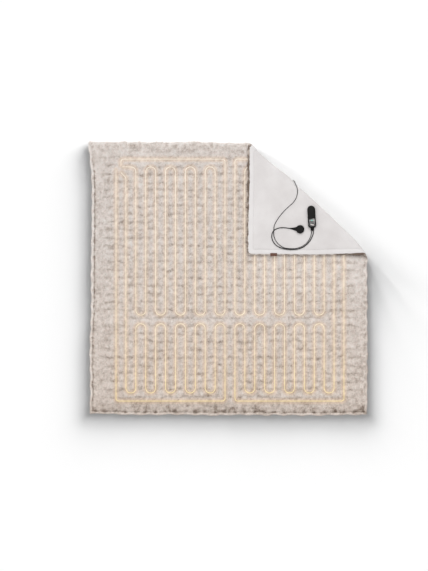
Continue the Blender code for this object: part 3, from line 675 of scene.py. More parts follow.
def wire_finish():
    """A glow from cream to gold down the blanket, a little uneven where hairs lie over it."""
    finish = Finish("glowing_wire", Roughness=0.6, Specular_IOR_Level=0.1, Emission_Strength=0.82)
    height = finish.node("ShaderNodeSeparateXYZ", None, {0: finish.place()}, "Y")
    veiled = finish.noise(70, 2, 0.6)
    lowness = 0.5 - 0.72 * height + 0.20 * (veiled - 0.5)
    glow = finish.ramp(lowness, ((0.05, CREAM), (0.80, STRAW), (0.97, GOLD)))
    body = finish.blend(0.75, glow, (0.10, 0.07, 0.05, 1))
    return finish.feed(Base_Color=body, Emission_Color=glow)


def wire(name, path, material):
    """A wire lying in the pile: a tube along its path on the flat cloth, folded with it."""
    heading = np.gradient(path, axis=0)
    heading /= np.linalg.norm(heading, axis=1)[:, None]
    level = WIRE_LEVEL + WIRE_WAVER * (patches(path[:, 0], path[:, 1], 0.03, 51) - 0.5)
    rings = []
    for side in range(WIRE_SIDES):
        angle = 2 * math.pi * side / WIRE_SIDES
        aside = WIRE_DIAMETER / 2 * math.cos(angle)
        ring_x = path[:, 0] - aside * heading[:, 1]
        ring_y = path[:, 1] + aside * heading[:, 0]
        rings.append(folded(ring_x, ring_y, level + WIRE_DIAMETER / 2 * math.sin(angle)))
    points = np.stack(rings, axis=1).reshape(-1, 3)
    piece = add_mesh(f"glow_{name}", points, tube_faces(len(path), WIRE_SIDES), material)
    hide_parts(f"wire_{name}")


lead_in = rib_line(1.5)
upper_wire = [(lead_in, UPPER_START), (lead_in, TOP_RUN, OUTER_TURN)]
upper_wire += [(rib_line(12), TOP_RUN, OUTER_TURN)]
upper_wire += hairpins(range(12, 2, -1), UPPER_TIPS[1], UPPER_TIPS[0])
upper_wire += [(rib_line(3), UPPER_TIPS[0], RIB_PITCH / 2)]
upper_wire += [(lead_in + UPPER_END_SHIFT, UPPER_TIPS[0])]
lower_wire = [(rib_line(1), LOWER_START), (rib_line(1), BOTTOM_RUN, OUTER_TURN)]
lower_wire += [(rib_line(12), BOTTOM_RUN, OUTER_TURN)]
lower_wire += hairpins(range(12, 1, -1), LOWER_TIPS[0], LOWER_TIPS[1])
lower_wire += [(rib_line(2), LOWER_END_BEND, END_TURN), (lead_in, LOWER_END)]
wire_material = wire_finish()
warm_map = np.zeros((round(WIDTH / WARM_MAP_STEP) + 1, round(LENGTH / WARM_MAP_STEP) + 1))
warm_reach = round(WARM_REACH / WARM_MAP_STEP)
for side, mirror in (("left", 1), ("right", -1)):
    for name, corners in (("upper", upper_wire), ("lower", lower_wire)):
        path = rounded_path(
            [(RIB_CENTRE + mirror * (x - RIB_CENTRE), y, *radius) for x, y, *radius in corners]
        )
        wire(f"{name}_{side}", path, wire_material)
        steps = [path[:-1] * (1 - share) + path[1:] * share for share in (0, 0.25, 0.5, 0.75)]
        finer = np.concatenate(steps)
        column = np.rint((finer[:, 0] + WIDTH / 2) / WARM_MAP_STEP).astype(int)
        row = np.rint((finer[:, 1] + LENGTH / 2) / WARM_MAP_STEP).astype(int)
        for aside in range(-warm_reach, warm_reach + 1):
            for ahead in range(-warm_reach, warm_reach + 1):
                nearness = max(0.0, 1 - math.hypot(aside, ahead) / warm_reach)
                np.maximum.at(warm_map, (column + aside, row + ahead), nearness)


def warmth(x, y):
    """How near each place of the flat cloth is to a wire: 1 on it, 0 past its glow's reach."""
    column = np.rint((x + WIDTH / 2) / WARM_MAP_STEP).astype(int)
    row = np.rint((y + LENGTH / 2) / WARM_MAP_STEP).astype(int)
    return warm_map[column.clip(0, warm_map.shape[0] - 1), row.clip(0, warm_map.shape[1] - 1)]


# Fur front
# Faux fur on a knitted ground, embossed into ribs, which carry the heating wires, and across them
# into rows of soft puffs. Its edge is turned under and stitched 12.5 mm in, which leaves a rolled
# hem, drawn in wherever a crease meets it.

ROW_PITCH = 0.04306
ROW_START = 0.6275  # Y of one crease between two rows
ROWS_FROM, ROWS_TO, ROWS_FADE = -0.690, 0.700, 0.03  # where the rows end, and how softly
GROUND_LEVEL = 0.0085  # of the deepest creases in the pile's ground
ROW_PUFF, RIB_PUFF, CELL_PUFF = 0.0018, 0.0026, 0.0012  # heights of rows, ribs, and their crossings
CROWN = 2.6  # the more, the flatter a puff's crown and the narrower its creases
# Strength, size and seed of each layer of patches
WARP_ACROSS = ((0.010, 0.085, 11), (0.008, 0.026, 12))
WARP_ALONG = ((0.013, 0.090, 13), (0.012, 0.030, 14))
UNEVEN_GROUND = ((0.0016, 0.012, 17), (0.0024, 0.024, 18))
MOTTLED_BAND = ((0.55, 0.036, 29), (0.45, 0.014, 30))
TUFTS = ((0.50, 0.0072, 23), (0.34, 0.0125, 24), (0.16, 0.034, 25))
FRINGE_CLUMPS = ((0.6, 0.015, 33), (0.4, 0.007, 35))
HEM_WIDTH = 0.0125
LEFT_HEM_EXTRA = 0.0048  # how much wider the hem is along the left edge, between these places
LEFT_HEM_FROM, LEFT_HEM_TO = -0.25, 0.62
HEM_WAVER = 0.004  # how much the hem's width varies
HEM_ROLL = 0.0036
PALE_HEM = 0.13  # how much paler the rolled hem is than the fur beside it
BAND_CENTRE = (UPPER_TIPS[1] + LOWER_TIPS[0]) / 2  # Y of the plain band between the wires
BAND_HALF_WIDTH = 0.035
# How much darker the fur is: as painted shade over the whole length and at its lower end, and at
# its upper end and sides
DARKER_DOWN, DARKER_LOW, DARKER_HIGH, DARKER_SIDES = 0.060, 0.14, 0.09, 0.05
# The paler band between the wires, and painted light on the fur by the folded corner
PALER_BAND_AND_PAINTED_LIGHT = 0.05  # how much paler it is in the band and by the folded corner
LOW_REACH, HIGH_REACH, SIDES_REACH = 0.080, 0.085, 0.10  # how far in the darker edges reach
PAINTED_LIGHT_FROM, PAINTED_LIGHT_REACH = (0.08, -0.14), 0.08  # the lower left end of the pale fur there
EDGE_TUFTS = 0.30  # how strong the tufts are in the darker upper and right edges
HEM_SEAM_LEVEL = 0.0056
PINCH_DEPTH = 0.0012  # how much deeper the seam is where it meets a crease
SOFT_SEAM_RISE = 0.0022  # how much shallower the seam is along the top and the right
SEAM_HALF_WIDTH = 0.0048
# Distance in from the edge, height, for the part of the edge that is turned under
FUR_UNDER = ((0.030, 0.0036), (0.014, 0.0034), (0.006, 0.0031), (0.0015, 0.0036), (0.0002, 0.0050))
FUR_TOP_INSETS = (
    0.0005, 0.0022, 0.0045, 0.0070, 0.0092, 0.0110, 0.0125, 0.0140, 0.0165, 0.0200, 0.0250,
)
FUR_CORNER = 0.012
SCALLOP, EDGE_WAVER = 0.0020, 0.003  # how far the edge swings out, evenly and unevenly
SCALLOP_REACH = 0.03  # how far in from the edge the fur swings with it
FUR_STEP = 0.0061
ROOT_BROWN, SHADED_GREIGE = (0.170, 0.128, 0.102), (0.480, 0.410, 0.362)
GREIGE, PALE_TIP = (0.796, 0.732, 0.690), (0.955, 0.934, 0.918)
# The wires' glow, painted into the fur's colour as a warm tint beside them, stronger lower down
GLOW_TINT = (0.975, 0.838, 0.694, 1)
GLOW_TINT_DOWN = ((-0.50, 1.0), (-0.15, 0.76))  # place up the blanket, strength of the warm tint
WARM_DRIFT = 0.15  # how much the whole fur warms in colour for each metre down from here
WARM_DRIFT_FROM = 0.15
ROSY, COOL = (1.012, 0.988, 0.984), (0.984, 1.000, 0.996)  # faint casts that drift over the fur
# How dark the upturned fringe is along the folded corner's two edges: place along them, strength
TOP_FRINGE = (
    (0.125, 0.15), (0.150, 0.60), (0.190, 0.60), (0.205, 0.24), (0.250, 0.30), (0.272, 0.60),
    (0.510, 0.54), (0.560, 0.30), (0.735, 0.28),
)
SIDE_FRINGE = ((0.100, 0.64), (0.260, 0.60), (0.320, 0.20), (0.600, 0.20), (0.700, 0.14))


def crest(distance):
    """Height over a row of puffs: 0 in its creases, at distance 0, and 1 on its crowns, at 1."""
    return 1 - (1 - distance.clip(0, 1)) ** CROWN


def puffs(x, y):
    """(height above the creases, closeness to a crease) of the embossed pile."""
    rib = (x + layered(x, y, WARP_ACROSS, 0.5) - RIB_CENTRE) / RIB_PITCH
    row = (y + layered(x, y, WARP_ALONG, 0.5) - ROW_START) / ROW_PITCH
    ribbed = rising(RIBS / 2 - np.abs(rib), 0.5)
    rowed = rising(ROWS_TO - y, ROWS_FADE) * rising(y - ROWS_FROM, ROWS_FADE)
    across = crest(1 - 2 * np.abs(rib % 1 - 0.5))
    up = crest(1 - 2 * np.abs((row + 0.5) % 1 - 0.5))
    # Here and there the puffs are less firmly embossed, and the rows are so outside the ribs
    firmness = (3.8 * patches(x, y, 0.048, 15) * patches(x, y, 0.021, 19)).clip(0.25, 1.05)
    margin = 0.55 + 0.45 * ribbed
    height = ROW_PUFF * up * margin + RIB_PUFF * across * ribbed + CELL_PUFF * up * across * ribbed
    level = ROW_PUFF * margin + (RIB_PUFF + CELL_PUFF) * ribbed
    free = 1 - 0.9 * rising(warmth(x, y) - 0.25, 0.5)  # a wire smooths the creases that it crosses
    # How dark the creases are: the darker roots showing there, with painted shade.
    dark = (1 - up) * (0.35 + 0.65 * ribbed) * (0.68 + 0.12 * (1 - across) * ribbed) * firmness
    dark = dark + 0.30 * (1 - across) * ribbed * (patches(x, y, 0.017, 16) - 0.45).clip(0, 1)
    height = level - (level - height) * firmness.clip(0, 1) * rowed * free
    return height, (dark * rowed * free).clip(0, 1)


def fur_height(x, y):
    """(height of the fur's ground, darkness of its creases and painted seam shade) over the
    blanket's top.
    """
    inset_x, inset_y = insets(x, y)
    inset = np.minimum(inset_x, inset_y)
    on_left = (inset_x < inset_y) & (x < 0)
    wide = rising(y - LEFT_HEM_FROM, 0.20) * rising(LEFT_HEM_TO - y, 0.06)
    hem = HEM_WIDTH + LEFT_HEM_EXTRA * wide * on_left
    hem = hem + HEM_WAVER * (patches(x + y, x - y, 0.028, 27) - 0.5)
    height, dark = puffs(x, y)
    height = height + layered(x, y, UNEVEN_GROUND, 0.5) * (1 - 0.8 * warmth(x, y))
    rise = 1 - (1 - rising(inset - hem, 0.020)) ** 2.5  # from the seam up to the full pile
    by_row = np.cos(math.pi * (y - ROW_START) / ROW_PITCH) ** 6
    by_rib = np.sin(math.pi * (x - RIB_CENTRE) / RIB_PITCH) ** 6
    pinch = np.where(inset_x < inset_y, by_row, by_rib) * (0.5 + patches(x, y, 0.03, 20))
    soft_side = np.where(x > 0, 1.0, rising(y - LEFT_HEM_TO, 0.06))
    soft = np.where(inset_x < inset_y, soft_side, y > 0)
    seam = HEM_SEAM_LEVEL - PINCH_DEPTH * pinch + SOFT_SEAM_RISE * soft
    outer = (1 - (2 * inset / hem - 1).clip(-1, 1) ** 2) ** 0.5
    roll = seam + (HEM_ROLL - SOFT_SEAM_RISE * soft) * outer * (1 - 0.45 * pinch.clip(0, 1))
    # Painted shade in the seam's groove and in its pinches where creases meet it; dark mottling
    # along the lower band.
    in_seam = fading(np.abs(inset - hem), SEAM_HALF_WIDTH) ** 0.7
    uneven = patches(x, y, 0.020, 28)
    left_dark, other_dark = 0.75 + 0.7 * uneven, 0.30 + 0.6 * uneven + 0.75 * pinch
    seam_dark = in_seam * np.where(on_left, left_dark, other_dark)
    seam_dark = seam_dark + 0.6 * pinch * fading(np.abs(inset - 0.018), 0.013)
    mottled = (layered(x, y, MOTTLED_BAND) - 0.50).clip(0) * 2.7
    low_band = rising(0.070 - inset_y, 0.030) * (y < 0) * rising(inset_y - 0.012, 0.004)
    seam_dark = seam_dark * (1 - 0.8 * soft) + mottled * low_band
    height = np.where(inset < hem, roll, seam + rise * (GROUND_LEVEL + height - seam))
    return height, np.maximum(dark * rise, seam_dark).clip(0, 1.25)


def brushing(x, y):
    """Tone of the brushed fur, about 0 on the whole: tufts of a few millimetres, in drifts."""
    return layered(x, y, TUFTS) - 0.5


def painted_shade_and_tone(x, y):
    """How much darker the fur is: painted shade lower down and at its lower edge, darker along the
    other edges, with its pale spots and the painted light by the folded corner taken off.
    """
    inset_x, inset_y = insets(x, y)
    low, high = fading(y + LENGTH / 2, LOW_REACH), fading(LENGTH / 2 - y, HIGH_REACH)
    side = fading(inset_x, SIDES_REACH)
    hem = fading(np.minimum(inset_x, inset_y) - HEM_WIDTH, 0.004)
    pale = hem * np.where((x > 0) & (WIDTH / 2 - x < inset_y), 0.0, 1.0)
    pale = pale * (1 - turned_over(x, y))
    # Painted shade: darker down the blanket and towards its lower edge; the other edges darker too.
    drift = DARKER_DOWN * (0.5 - y / LENGTH) + DARKER_LOW * low**0.7
    drift = drift + DARKER_HIGH * high + DARKER_SIDES * side
    # Painted light by the folded corner, and the paler band between the wires.
    across, up = (rising(a - b, PAINTED_LIGHT_REACH) for a, b in zip((x, y), PAINTED_LIGHT_FROM))
    by_corner = PALER_BAND_AND_PAINTED_LIGHT * up * across * (1 - high)
    lightened = PALER_BAND_AND_PAINTED_LIGHT * fading(np.abs(y - BAND_CENTRE), BAND_HALF_WIDTH) + by_corner
    tufted = EDGE_TUFTS * np.maximum(high, side * (x > 0)) * (patches(x, y, 0.016, 34) - 0.5)
    return drift - lightened + tufted - PALE_HEM * pale


def by_side(x, y):
    """Whether the blanket's right side is nearer than its upper end."""
    return x - WIDTH / 2 > y - LENGTH / 2


def fringe_shade(x, y):
    """How much darker the folded corner's fringe is, in clumps: upturned roots and painted shade.
    """
    deep = rising(np.minimum(WIDTH / 2 - x, LENGTH / 2 - y), 0.009)  # most beside the velour
    by_place = np.where(by_side(x, y), read_off(SIDE_FRINGE, y), read_off(TOP_FRINGE, x))
    clumps = layered(x + y, x - y, FRINGE_CLUMPS) - 0.5
    return turned_over(x, y) * by_place * (0.70 + 0.50 * deep + 2.0 * clumps).clip(0, 1.8)


def scallops(x, y):
    """The fur's own edge: gently wavy where the rows and ribs of puffs meet it."""
    near_x, near_y = ((1 - inset / SCALLOP_REACH).clip(0) for inset in insets(x, y))
    by_row = np.cos(math.pi * (y - ROW_START) / ROW_PITCH)
    by_rib = np.cos(math.pi * (x - RIB_CENTRE) / (0.9 * RIB_PITCH))
    side = SCALLOP * by_row + EDGE_WAVER * patches(x, y, 0.03, 21)
    end = SCALLOP * by_rib + EDGE_WAVER * patches(x, y, 0.03, 22)
    return x + np.sign(x) * near_x * side, y + np.sign(y) * near_y * end


def painted_glow_and_drift(x, y):
    """How strongly the fur is tinted warm: the wires' painted glow, and a drift warmer down the
    blanket.
    """
    return warmth(x, y) * read_off(GLOW_TINT_DOWN, y) + WARM_DRIFT * (WARM_DRIFT_FROM - y).clip(0)


def fur_finish(name, bump_strength):
    """Faux fur: pale greige tips over darker brown roots, with the wires' glow painted in beside
    them.
    """
    finish = Finish(
        name, Roughness=0.95, Sheen_Weight=0.10, Sheen_Roughness=0.6, Specular_IOR_Level=0.1
    )
    tone = finish.node("ShaderNodeAttribute", {"attribute_name": "tone"}, output="Fac")
    painted_glow = finish.node("ShaderNodeAttribute", {"attribute_name": "warmth"}, output="Fac")
    fleck = finish.noise(230, 2, 0.6)
    stops = ((0.04, ROOT_BROWN), (0.30, SHADED_GREIGE), (0.60, GREIGE), (0.95, PALE_TIP))
    colour = finish.ramp(tone + 0.22 * (fleck - 0.5), stops)
    drift = (finish.noise(95, 2, 0.6) - 0.5) * 2.2 + 0.5
    cast = finish.ramp(drift, ((0.2, ROSY), (0.8, COOL)))
    colour = finish.blend(1.0, colour, cast, "MULTIPLY")
    if bump_strength:
        finish.feed(Normal=finish.bump(finish.noise(420, 3, 0.7), 0.0016, bump_strength))
    # Painted glow: the fur's colour is tinted warm beside the wires.
    return finish.feed(Base_Color=finish.blend(painted_glow**0.8, colour, GLOW_TINT, "MULTIPLY"))


def fur_ground():
    """The fur's ground, from the edge turned under on one side to the one on the other."""
    rim = (*FUR_UNDER, *((inset, None) for inset in FUR_TOP_INSETS))
    x, y, inset_x, inset_y, row = spread_out(rim, FUR_STEP, FUR_STEP, 0.0)
    z, dark = fur_height(x, y)
    turned_under = np.array([height for _, height in FUR_UNDER])[row.clip(0, len(FUR_UNDER) - 1)]
    z = np.where(row < len(FUR_UNDER), turned_under, z)
    # The tone carries painted shade in the creases and seam, lower down, and in the fringe.
    tone = 0.52 - 0.34 * dark + 0.5 * brushing(x, y) - painted_shade_and_tone(x, y) - 0.9 * fringe_shade(x, y)
    values, uv = {"tone": tone, "warmth": painted_glow_and_drift(x, y)}, bake_places(x, y)
    x, y = scallops(*wandering(*rounded_corners(x, y, inset_x, inset_y, FUR_CORNER)))
    points = folded(x, y, z).reshape(-1, 3)
    finish = fur_finish("fur_ground", 0.5)
    return add_mesh("fur_ground", points, grid_faces(*x.shape), finish, values=values, uv=uv)


fur_ground_piece = fur_ground()
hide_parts("fur_panel")

# Pile
# The hairs, in small curved locks about 9 mm long that lie over one another, brushed towards the
# lower edge. They part over the creases, where the darker roots show with painted shade, and fringe
# the hem all round.

LOCKS_PER_PIECE = 54000
PILE_PIECES = 4
LOCK_LENGTH = 0.0090
LOCK_WIDTH = 0.0019
LOCK_LIFT = 0.0023
ROOT_INSET = 0.001  # no lock is rooted nearer to the edge
FRINGE_REACH = 0.012  # how far in from the edge the locks turn outwards
SWIRL = 3.4  # how widely the locks' heading turns from patch to patch, in radians
HEADING_SPREAD, FRINGE_SPREAD, BEND_SPREAD = 0.45, 0.6, 0.5  # from lock to lock, in radians
WIRE_BED = 0.0020  # how far the pile is pressed down along a wire
FRINGE_DROP = 0.0035  # how far the tips of the fringe hang below the seam
COVERED_BY = 0.035  # how far under the folded corner the pile still shows
# Share of the length, of the width, of the lift and of the bend at a lock's root, middle and tip
LOCK_STEPS = ((0.0, 1.0, -0.15, 0.0), (0.5, 0.85, 0.85, 0.4), (1.0, 0.0, 0.60, 1.0))
# A lock's corners in its own patch of the picture of its colours
LOCK_PATCH = ((0.1, 0.1), (0.9, 0.1), (0.1, 0.5), (0.9, 0.5), (0.5, 0.9))


def shown(x, y):
    """Whether the fur shows here: not under the folded corner, nor on its hidden fur side."""
    past = past_crease(x, y)[0]
    inset = np.minimum(*insets(x, y))
    corner = folded(np.array([WIDTH / 2]), np.array([LENGTH / 2]), np.array([0.0]))[0]
    covered = (past <= 0) & (x > corner[0] + COVERED_BY) & (y > corner[1] + COVERED_BY)
    return ~(covered | ((past > 0) & (inset > COVERED_BY)))


def pressed(x, y):
    """How far a wire presses the pile down, from 0 to 1."""
    return rising(warmth(x, y), 0.80) ** 3


def locks(name, seed, material):
    """One piece of pile: curved, pointed locks of hair rooted in the fur's ground."""
    rng = np.random.default_rng(seed)
    reach_x, reach_y = WIDTH / 2 - ROOT_INSET, LENGTH / 2 - ROOT_INSET
    x = rng.uniform(-reach_x, reach_x, LOCKS_PER_PIECE * 2)
    y = rng.uniform(-reach_y, reach_y, LOCKS_PER_PIECE * 2)
    keep = np.flatnonzero(shown(x, y))[:LOCKS_PER_PIECE]
    x, y = x[keep], y[keep]
    count = len(x)
    turn = -math.pi / 2 + SWIRL * (patches(x, y, 0.040, 31) - 0.5)
    turn = turn + SWIRL * (patches(x, y, 0.013, 32) - 0.5)
    turn = turn + rng.normal(0, HEADING_SPREAD, count)
    inset_x, inset_y = insets(x, y)
    edge = fading(np.minimum(inset_x, inset_y), FRINGE_REACH)
    sideways = np.where(x > 0, 0.0, math.pi)
    outward = np.where(inset_x < inset_y, sideways, np.sign(y) * math.pi / 2)
    turned_out = rng.random(count) < edge
    turn = np.where(turned_out, outward + rng.normal(0, FRINGE_SPREAD, count), turn)
    bend = rng.normal(0, BEND_SPREAD, count)
    on_wire = pressed(x, y)
    ragged = edge * turned_over(x, y) * (2.4 * patches(x + y, x - y, 0.011, 36) - 0.4)
    upper_hem = (y > 0) & (inset_y < inset_x) & (past_crease(x, y)[0] <= 0)
    length = LOCK_LENGTH * rng.uniform(0.65, 1.25, count)
    length = length * (1 - 0.35 * edge) * (1 - 0.45 * on_wire)
    length = length * (1 + np.where(by_side(x, y), 0.1, 1.0) * ragged)
    length = length * (1 + 0.6 * edge * upper_hem)
    width = LOCK_WIDTH * rng.uniform(0.6, 1.3, count)
    lift = LOCK_LIFT * rng.uniform(0.5, 1.3, count) * (1 - 0.8 * on_wire)
    own_tone = rng.normal(0.66, 0.050, count) + 0.40 * brushing(x, y)
    points, tones, glow_tints = [], [], []
    for share, wide, up, bent in LOCK_STEPS:
        heading = turn + bend * bent
        at_x = x + length * share * np.cos(heading)
        at_y = y + length * share * np.sin(heading)
        ground, dark = fur_height(at_x, at_y)
        beyond = np.minimum(*insets(at_x, at_y)) < ROOT_INSET
        ground = np.where(beyond, HEM_SEAM_LEVEL - FRINGE_DROP * share, ground)
        ground = ground - WIRE_BED * pressed(at_x, at_y)
        # Points over a crease or the seam are darker with painted shade; tips paler than roots.
        tone = own_tone + 0.16 * (share - 0.5) - 0.28 * dark  # paler tips, darker creases
        tone = tone - painted_shade_and_tone(at_x, at_y) - fringe_shade(x, y)
        for side in (-1, 1) if wide else (0,):
            half = side * width * wide / 2
            skin_x, skin_y = at_x - half * np.sin(heading), at_y + half * np.cos(heading)
            skin_x, skin_y = scallops(*wandering(skin_x, skin_y))
            points.append(folded(skin_x, skin_y, ground + up * lift))
            tones.append(tone)
            glow_tints.append(painted_glow_and_drift(at_x, at_y))
    values = {"tone": np.stack(tones, axis=1), "warmth": np.stack(glow_tints, axis=1)}
    cells = math.ceil(math.sqrt(count))
    cell = np.stack((np.arange(count) % cells, np.arange(count) // cells), axis=1)[:, None]
    uv = ((cell + np.array(LOCK_PATCH)) / cells).reshape(-1, 2)
    corners = len(points)
    first = corners * np.arange(count)[:, None]
    faces = np.concatenate([first + [blade] for blade in ((0, 2, 3), (0, 3, 1), (2, 4, 3))])
    points = np.stack(points, axis=1).reshape(-1, 3)
    piece = add_mesh(name, points, faces, material, values=values, uv=uv)
    return piece


pile_finish = fur_finish("fur_pile", 0)
pile = [locks(f"pile_{number}", 40 + number, pile_finish) for number in range(1, PILE_PIECES + 1)]

# Hand control
# A satin black shell in two moulded halves, rounded at its far end, with a smoked glossy window in
# its lower third, whose paler right side is a painted reflection. Three small lamps and a pale
# touch key show in the window, the key's pale slanted shape partly a painted glint, and a flat boot
# holds both leads.

FLAP_TOP = 2 * FOLD_RADIUS
CLEARANCE = 0.0003  # between a hard piece and the velour that it lies on
SHARP_EDGE = math.radians(32)
HANDSET_PLACE = (0.4445, 0.3340, FLAP_TOP + CLEARANCE)
HANDSET_TURN = math.radians(3.4)
HANDSET_LENGTH, HANDSET_WIDTH = 0.118, 0.0425
HANDSET_FOOT_RADIUS = 0.010
HANDSET_FACE = 0.0185
# Height and inset of each ring of the shell, bottom to top; the fine step is the line where the
# halves meet
HANDSET_RINGS = (
    (0.0, 0.0050), (0.0004, 0.0037), (0.0016, 0.0021), (0.0035, 0.0010), (0.0058, 0.0003),
    (0.0078, 0.0), (0.0081, 0.0004), (0.0084, 0.0004), (0.0087, 0.0), (0.0120, 0.0001),
    (0.0142, 0.0006), (0.0160, 0.0016), (0.0173, 0.0029), (0.0181, 0.0043), (0.0185, 0.0060),
)
PANEL_LOW, PANEL_HIGH = -0.0545, -0.0125
PANEL_WIDTH, PANEL_SLANT, PANEL_RADIUS = 0.0310, 0.0040, 0.006
PANEL_DEPTH, PANEL_GAP = 0.0016, 0.0003
# Height above the face and growth of each ring of the window, whose edge is softly rounded
PANEL_RINGS = (
    (-PANEL_DEPTH, 0.0), (-0.0002, 0.0), (0.0, -0.0001), (0.0001, -0.0004), (0.0002, -0.0012),
)
# How pale the window's painted reflection is at this height up its middle, and how much paler it
# turns for each metre to the right and up
LOW_MIDDLE, REFLECTION_PALENESS, REFLECTION_PALER_RIGHT, REFLECTION_PALER_UP = -0.034, 0.42, 26, 9
LAMP_ROW, LAMP_PITCH, LAMP_DIAMETER = -0.0205, 0.0100, 0.0050
# Height above the face, and share of the radius, of each ring of a lamp
LAMP_DOME = ((-0.0008, 1.0), (0.0002, 1.0), (0.0004, 0.93), (0.0006, 0.72), (0.0007, 0.36))
KEY_MIDDLE, KEY_LENGTH, KEY_WIDTH, KEY_TURN = -0.0440, 0.0200, 0.0075, math.radians(-18)
# Height above the face and inset of each ring of the key
KEY_RINGS = ((-0.0008, 0.0), (0.0003, 0.0), (0.0006, 0.0003), (0.0008, 0.0010), (0.0009, 0.0022))
BOOT_LENGTH = 0.018
BOOT_OVERLAP = 0.0006  # how far it reaches into the shell
BOOT_LIFT = 0.0001  # of its underside above the shell's
# Share of its length, half width, half height; the steps are moulded ribs that let the boot bend
BOOT_SECTIONS = (
    (0.0, 0.0100, 0.0056), (0.22, 0.0097, 0.0054), (0.25, 0.0091, 0.0048), (0.32, 0.0090, 0.0047),
    (0.35, 0.0095, 0.0051), (0.46, 0.0092, 0.0050), (0.49, 0.0086, 0.0044), (0.56, 0.0085, 0.0043),
    (0.59, 0.0090, 0.0047), (0.72, 0.0088, 0.0045), (0.75, 0.0082, 0.0040), (0.80, 0.0081, 0.0039),
    (0.83, 0.0085, 0.0042), (1.0, 0.0080, 0.0036),
)


def lofted(name, rings, place, turn, material, slot, node):
    """A closed skin over rings of points, bottom to top, each anticlockwise, put in its place."""
    net = bmesh.new()
    made = [[net.verts.new(point) for point in ring] for ring in rings]
    for lower, upper in zip(made, made[1:]):
        for index, corner in enumerate(lower):
            after = (index + 1) % len(lower)
            net.faces.new((corner, lower[after], upper[after], upper[index]))
    net.faces.new(made[0][::-1])
    net.faces.new(made[-1])
    net.transform(Matrix.Translation(place) @ Matrix.Rotation(turn, 4, "Z"))
    mesh = bpy.data.meshes.new(name)
    net.to_mesh(mesh)
    net.free()
    mesh.shade_smooth()
    mesh.set_sharp_from_angle(angle=SHARP_EDGE)
    mesh.materials.append(material)
    piece = set_down(name, mesh)
    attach(piece, "root")
    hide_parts(node)
    return piece


def arc(middle, radius, start, end, steps):
    """Points round part of a circle, from one angle in degrees to another."""
    angles = [math.radians(start + (end - start) * step / steps) for step in range(steps + 1)]
    across, up = middle
    return [(across + radius * math.cos(angle), up + radius * math.sin(angle)) for angle in angles]


def circle(middle, radius, points):
    """Points all round a circle."""
    return arc(middle, radius, 0, 360 - 360 / points, points - 1)


def handset_outline(inset):
    """Round at the far end, with two smaller rounded corners where the leads come in."""
    half = HANDSET_WIDTH / 2
    foot = -HANDSET_LENGTH / 2
    corner = HANDSET_FOOT_RADIUS
    return (
        arc((0, HANDSET_LENGTH / 2 - half), half - inset, 0, 180, 40)
        + arc((-half + corner, foot + corner), corner - inset, 180, 270, 12)
        + arc((half - corner, foot + corner), corner - inset, 270, 360, 12)
    )


def panel_outline(grow):
    """The glossy window: rounded corners, its upper edge on a slant."""
    half = PANEL_WIDTH / 2 - PANEL_RADIUS
    radius = PANEL_RADIUS + grow
    low, high = PANEL_LOW + PANEL_RADIUS, PANEL_HIGH - PANEL_RADIUS
    return (
        arc((half, high + PANEL_SLANT / 2), radius, 0, 90, 10)
        + arc((-half, high - PANEL_SLANT / 2), radius, 90, 180, 10)
        + arc((-half, low), radius, 180, 270, 10)
        + arc((half, low), radius, 270, 360, 10)
    )


def towards(outline, others):
    """An outline's points in the same directions from the window's middle as the others."""
    middle = np.array((0, (PANEL_LOW + PANEL_HIGH) / 2))
    closed = np.array((*outline, outline[0]))
    shares = np.linspace(0, 1, 40, endpoint=False)[:, None]
    lines = zip(closed, closed[1:])
    dense = np.concatenate([start + (end - start) * shares for start, end in lines])
    bearings = np.arctan2(*(dense - middle).T[::-1])
    wanted = np.arctan2(*(np.array(others) - middle).T[::-1])
    order = np.argsort(bearings)
    x = np.interp(wanted, bearings[order], dense[order, 0], period=2 * math.pi)
    y = np.interp(wanted, bearings[order], dense[order, 1], period=2 * math.pi)
    return list(zip(x, y))


def at_height(points, z):
    """An outline's points, all at this height."""
    return [(x, y, z) for x, y in points]


def moulded(name, colour, roughness, grain, specular):
    """Moulded plastic with a fine spark-eroded grain, a little greasier where it is handled."""
    finish = Finish(name, Specular_IOR_Level=specular)
    handled = finish.noise(55, 2, 0.6)
    paler = tuple(1.5 * channel + 0.002 for channel in colour)
    bump = finish.bump(finish.noise(2600, 2, 0.6), 0.00008, grain)
    base = finish.ramp(handled, ((0.35, colour), (0.75, paler)))
    return finish.feed(Base_Color=base, Roughness=roughness + 0.16 * handled, Normal=bump)


def lamp_finish(name, glow, strength):
    """A small light pipe: milky plastic lit from inside, a little uneven in brightness."""
    finish = Finish(name, Roughness=0.25, Specular_IOR_Level=0.5, Emission_Strength=strength)
    uneven = finish.noise(900, 2)
    dim = tuple(0.75 * channel for channel in glow)
    colour = finish.ramp(uneven, ((0.3, dim), (0.7, glow)))
    return finish.feed(Base_Color=colour, Emission_Color=colour)


def smoked_window_painted_reflection():
    """Smoked acrylic: near black, with a painted grey reflection that turns paler to the right and
    up.
    """
    finish = Finish("smoked_window_painted_reflection", Specular_IOR_Level=0.5, Coat_Weight=0.4, Coat_Roughness=0.05)
    spot = finish.place()
    across = finish.node("ShaderNodeSeparateXYZ", None, {0: spot}, "X")
    up = finish.node("ShaderNodeSeparateXYZ", None, {0: spot}, "Y")
    right = (across - HANDSET_PLACE[0]) * REFLECTION_PALER_RIGHT
    higher = (up - (HANDSET_PLACE[1] + LOW_MIDDLE)) * REFLECTION_PALER_UP
    smudge = finish.noise(160, 3, 0.6)
    stops = (
        (0.15, (0.012, 0.012, 0.013)), (0.55, (0.045, 0.044, 0.044)), (1.0, (0.230, 0.215, 0.205)),
    )
    # Painted reflection: the grey turns paler towards the window's right and up.
    colour = finish.ramp(right + higher + REFLECTION_PALENESS + 0.10 * (smudge - 0.5), stops)
    return finish.feed(Base_Color=colour, Roughness=0.10 + 0.14 * smudge)


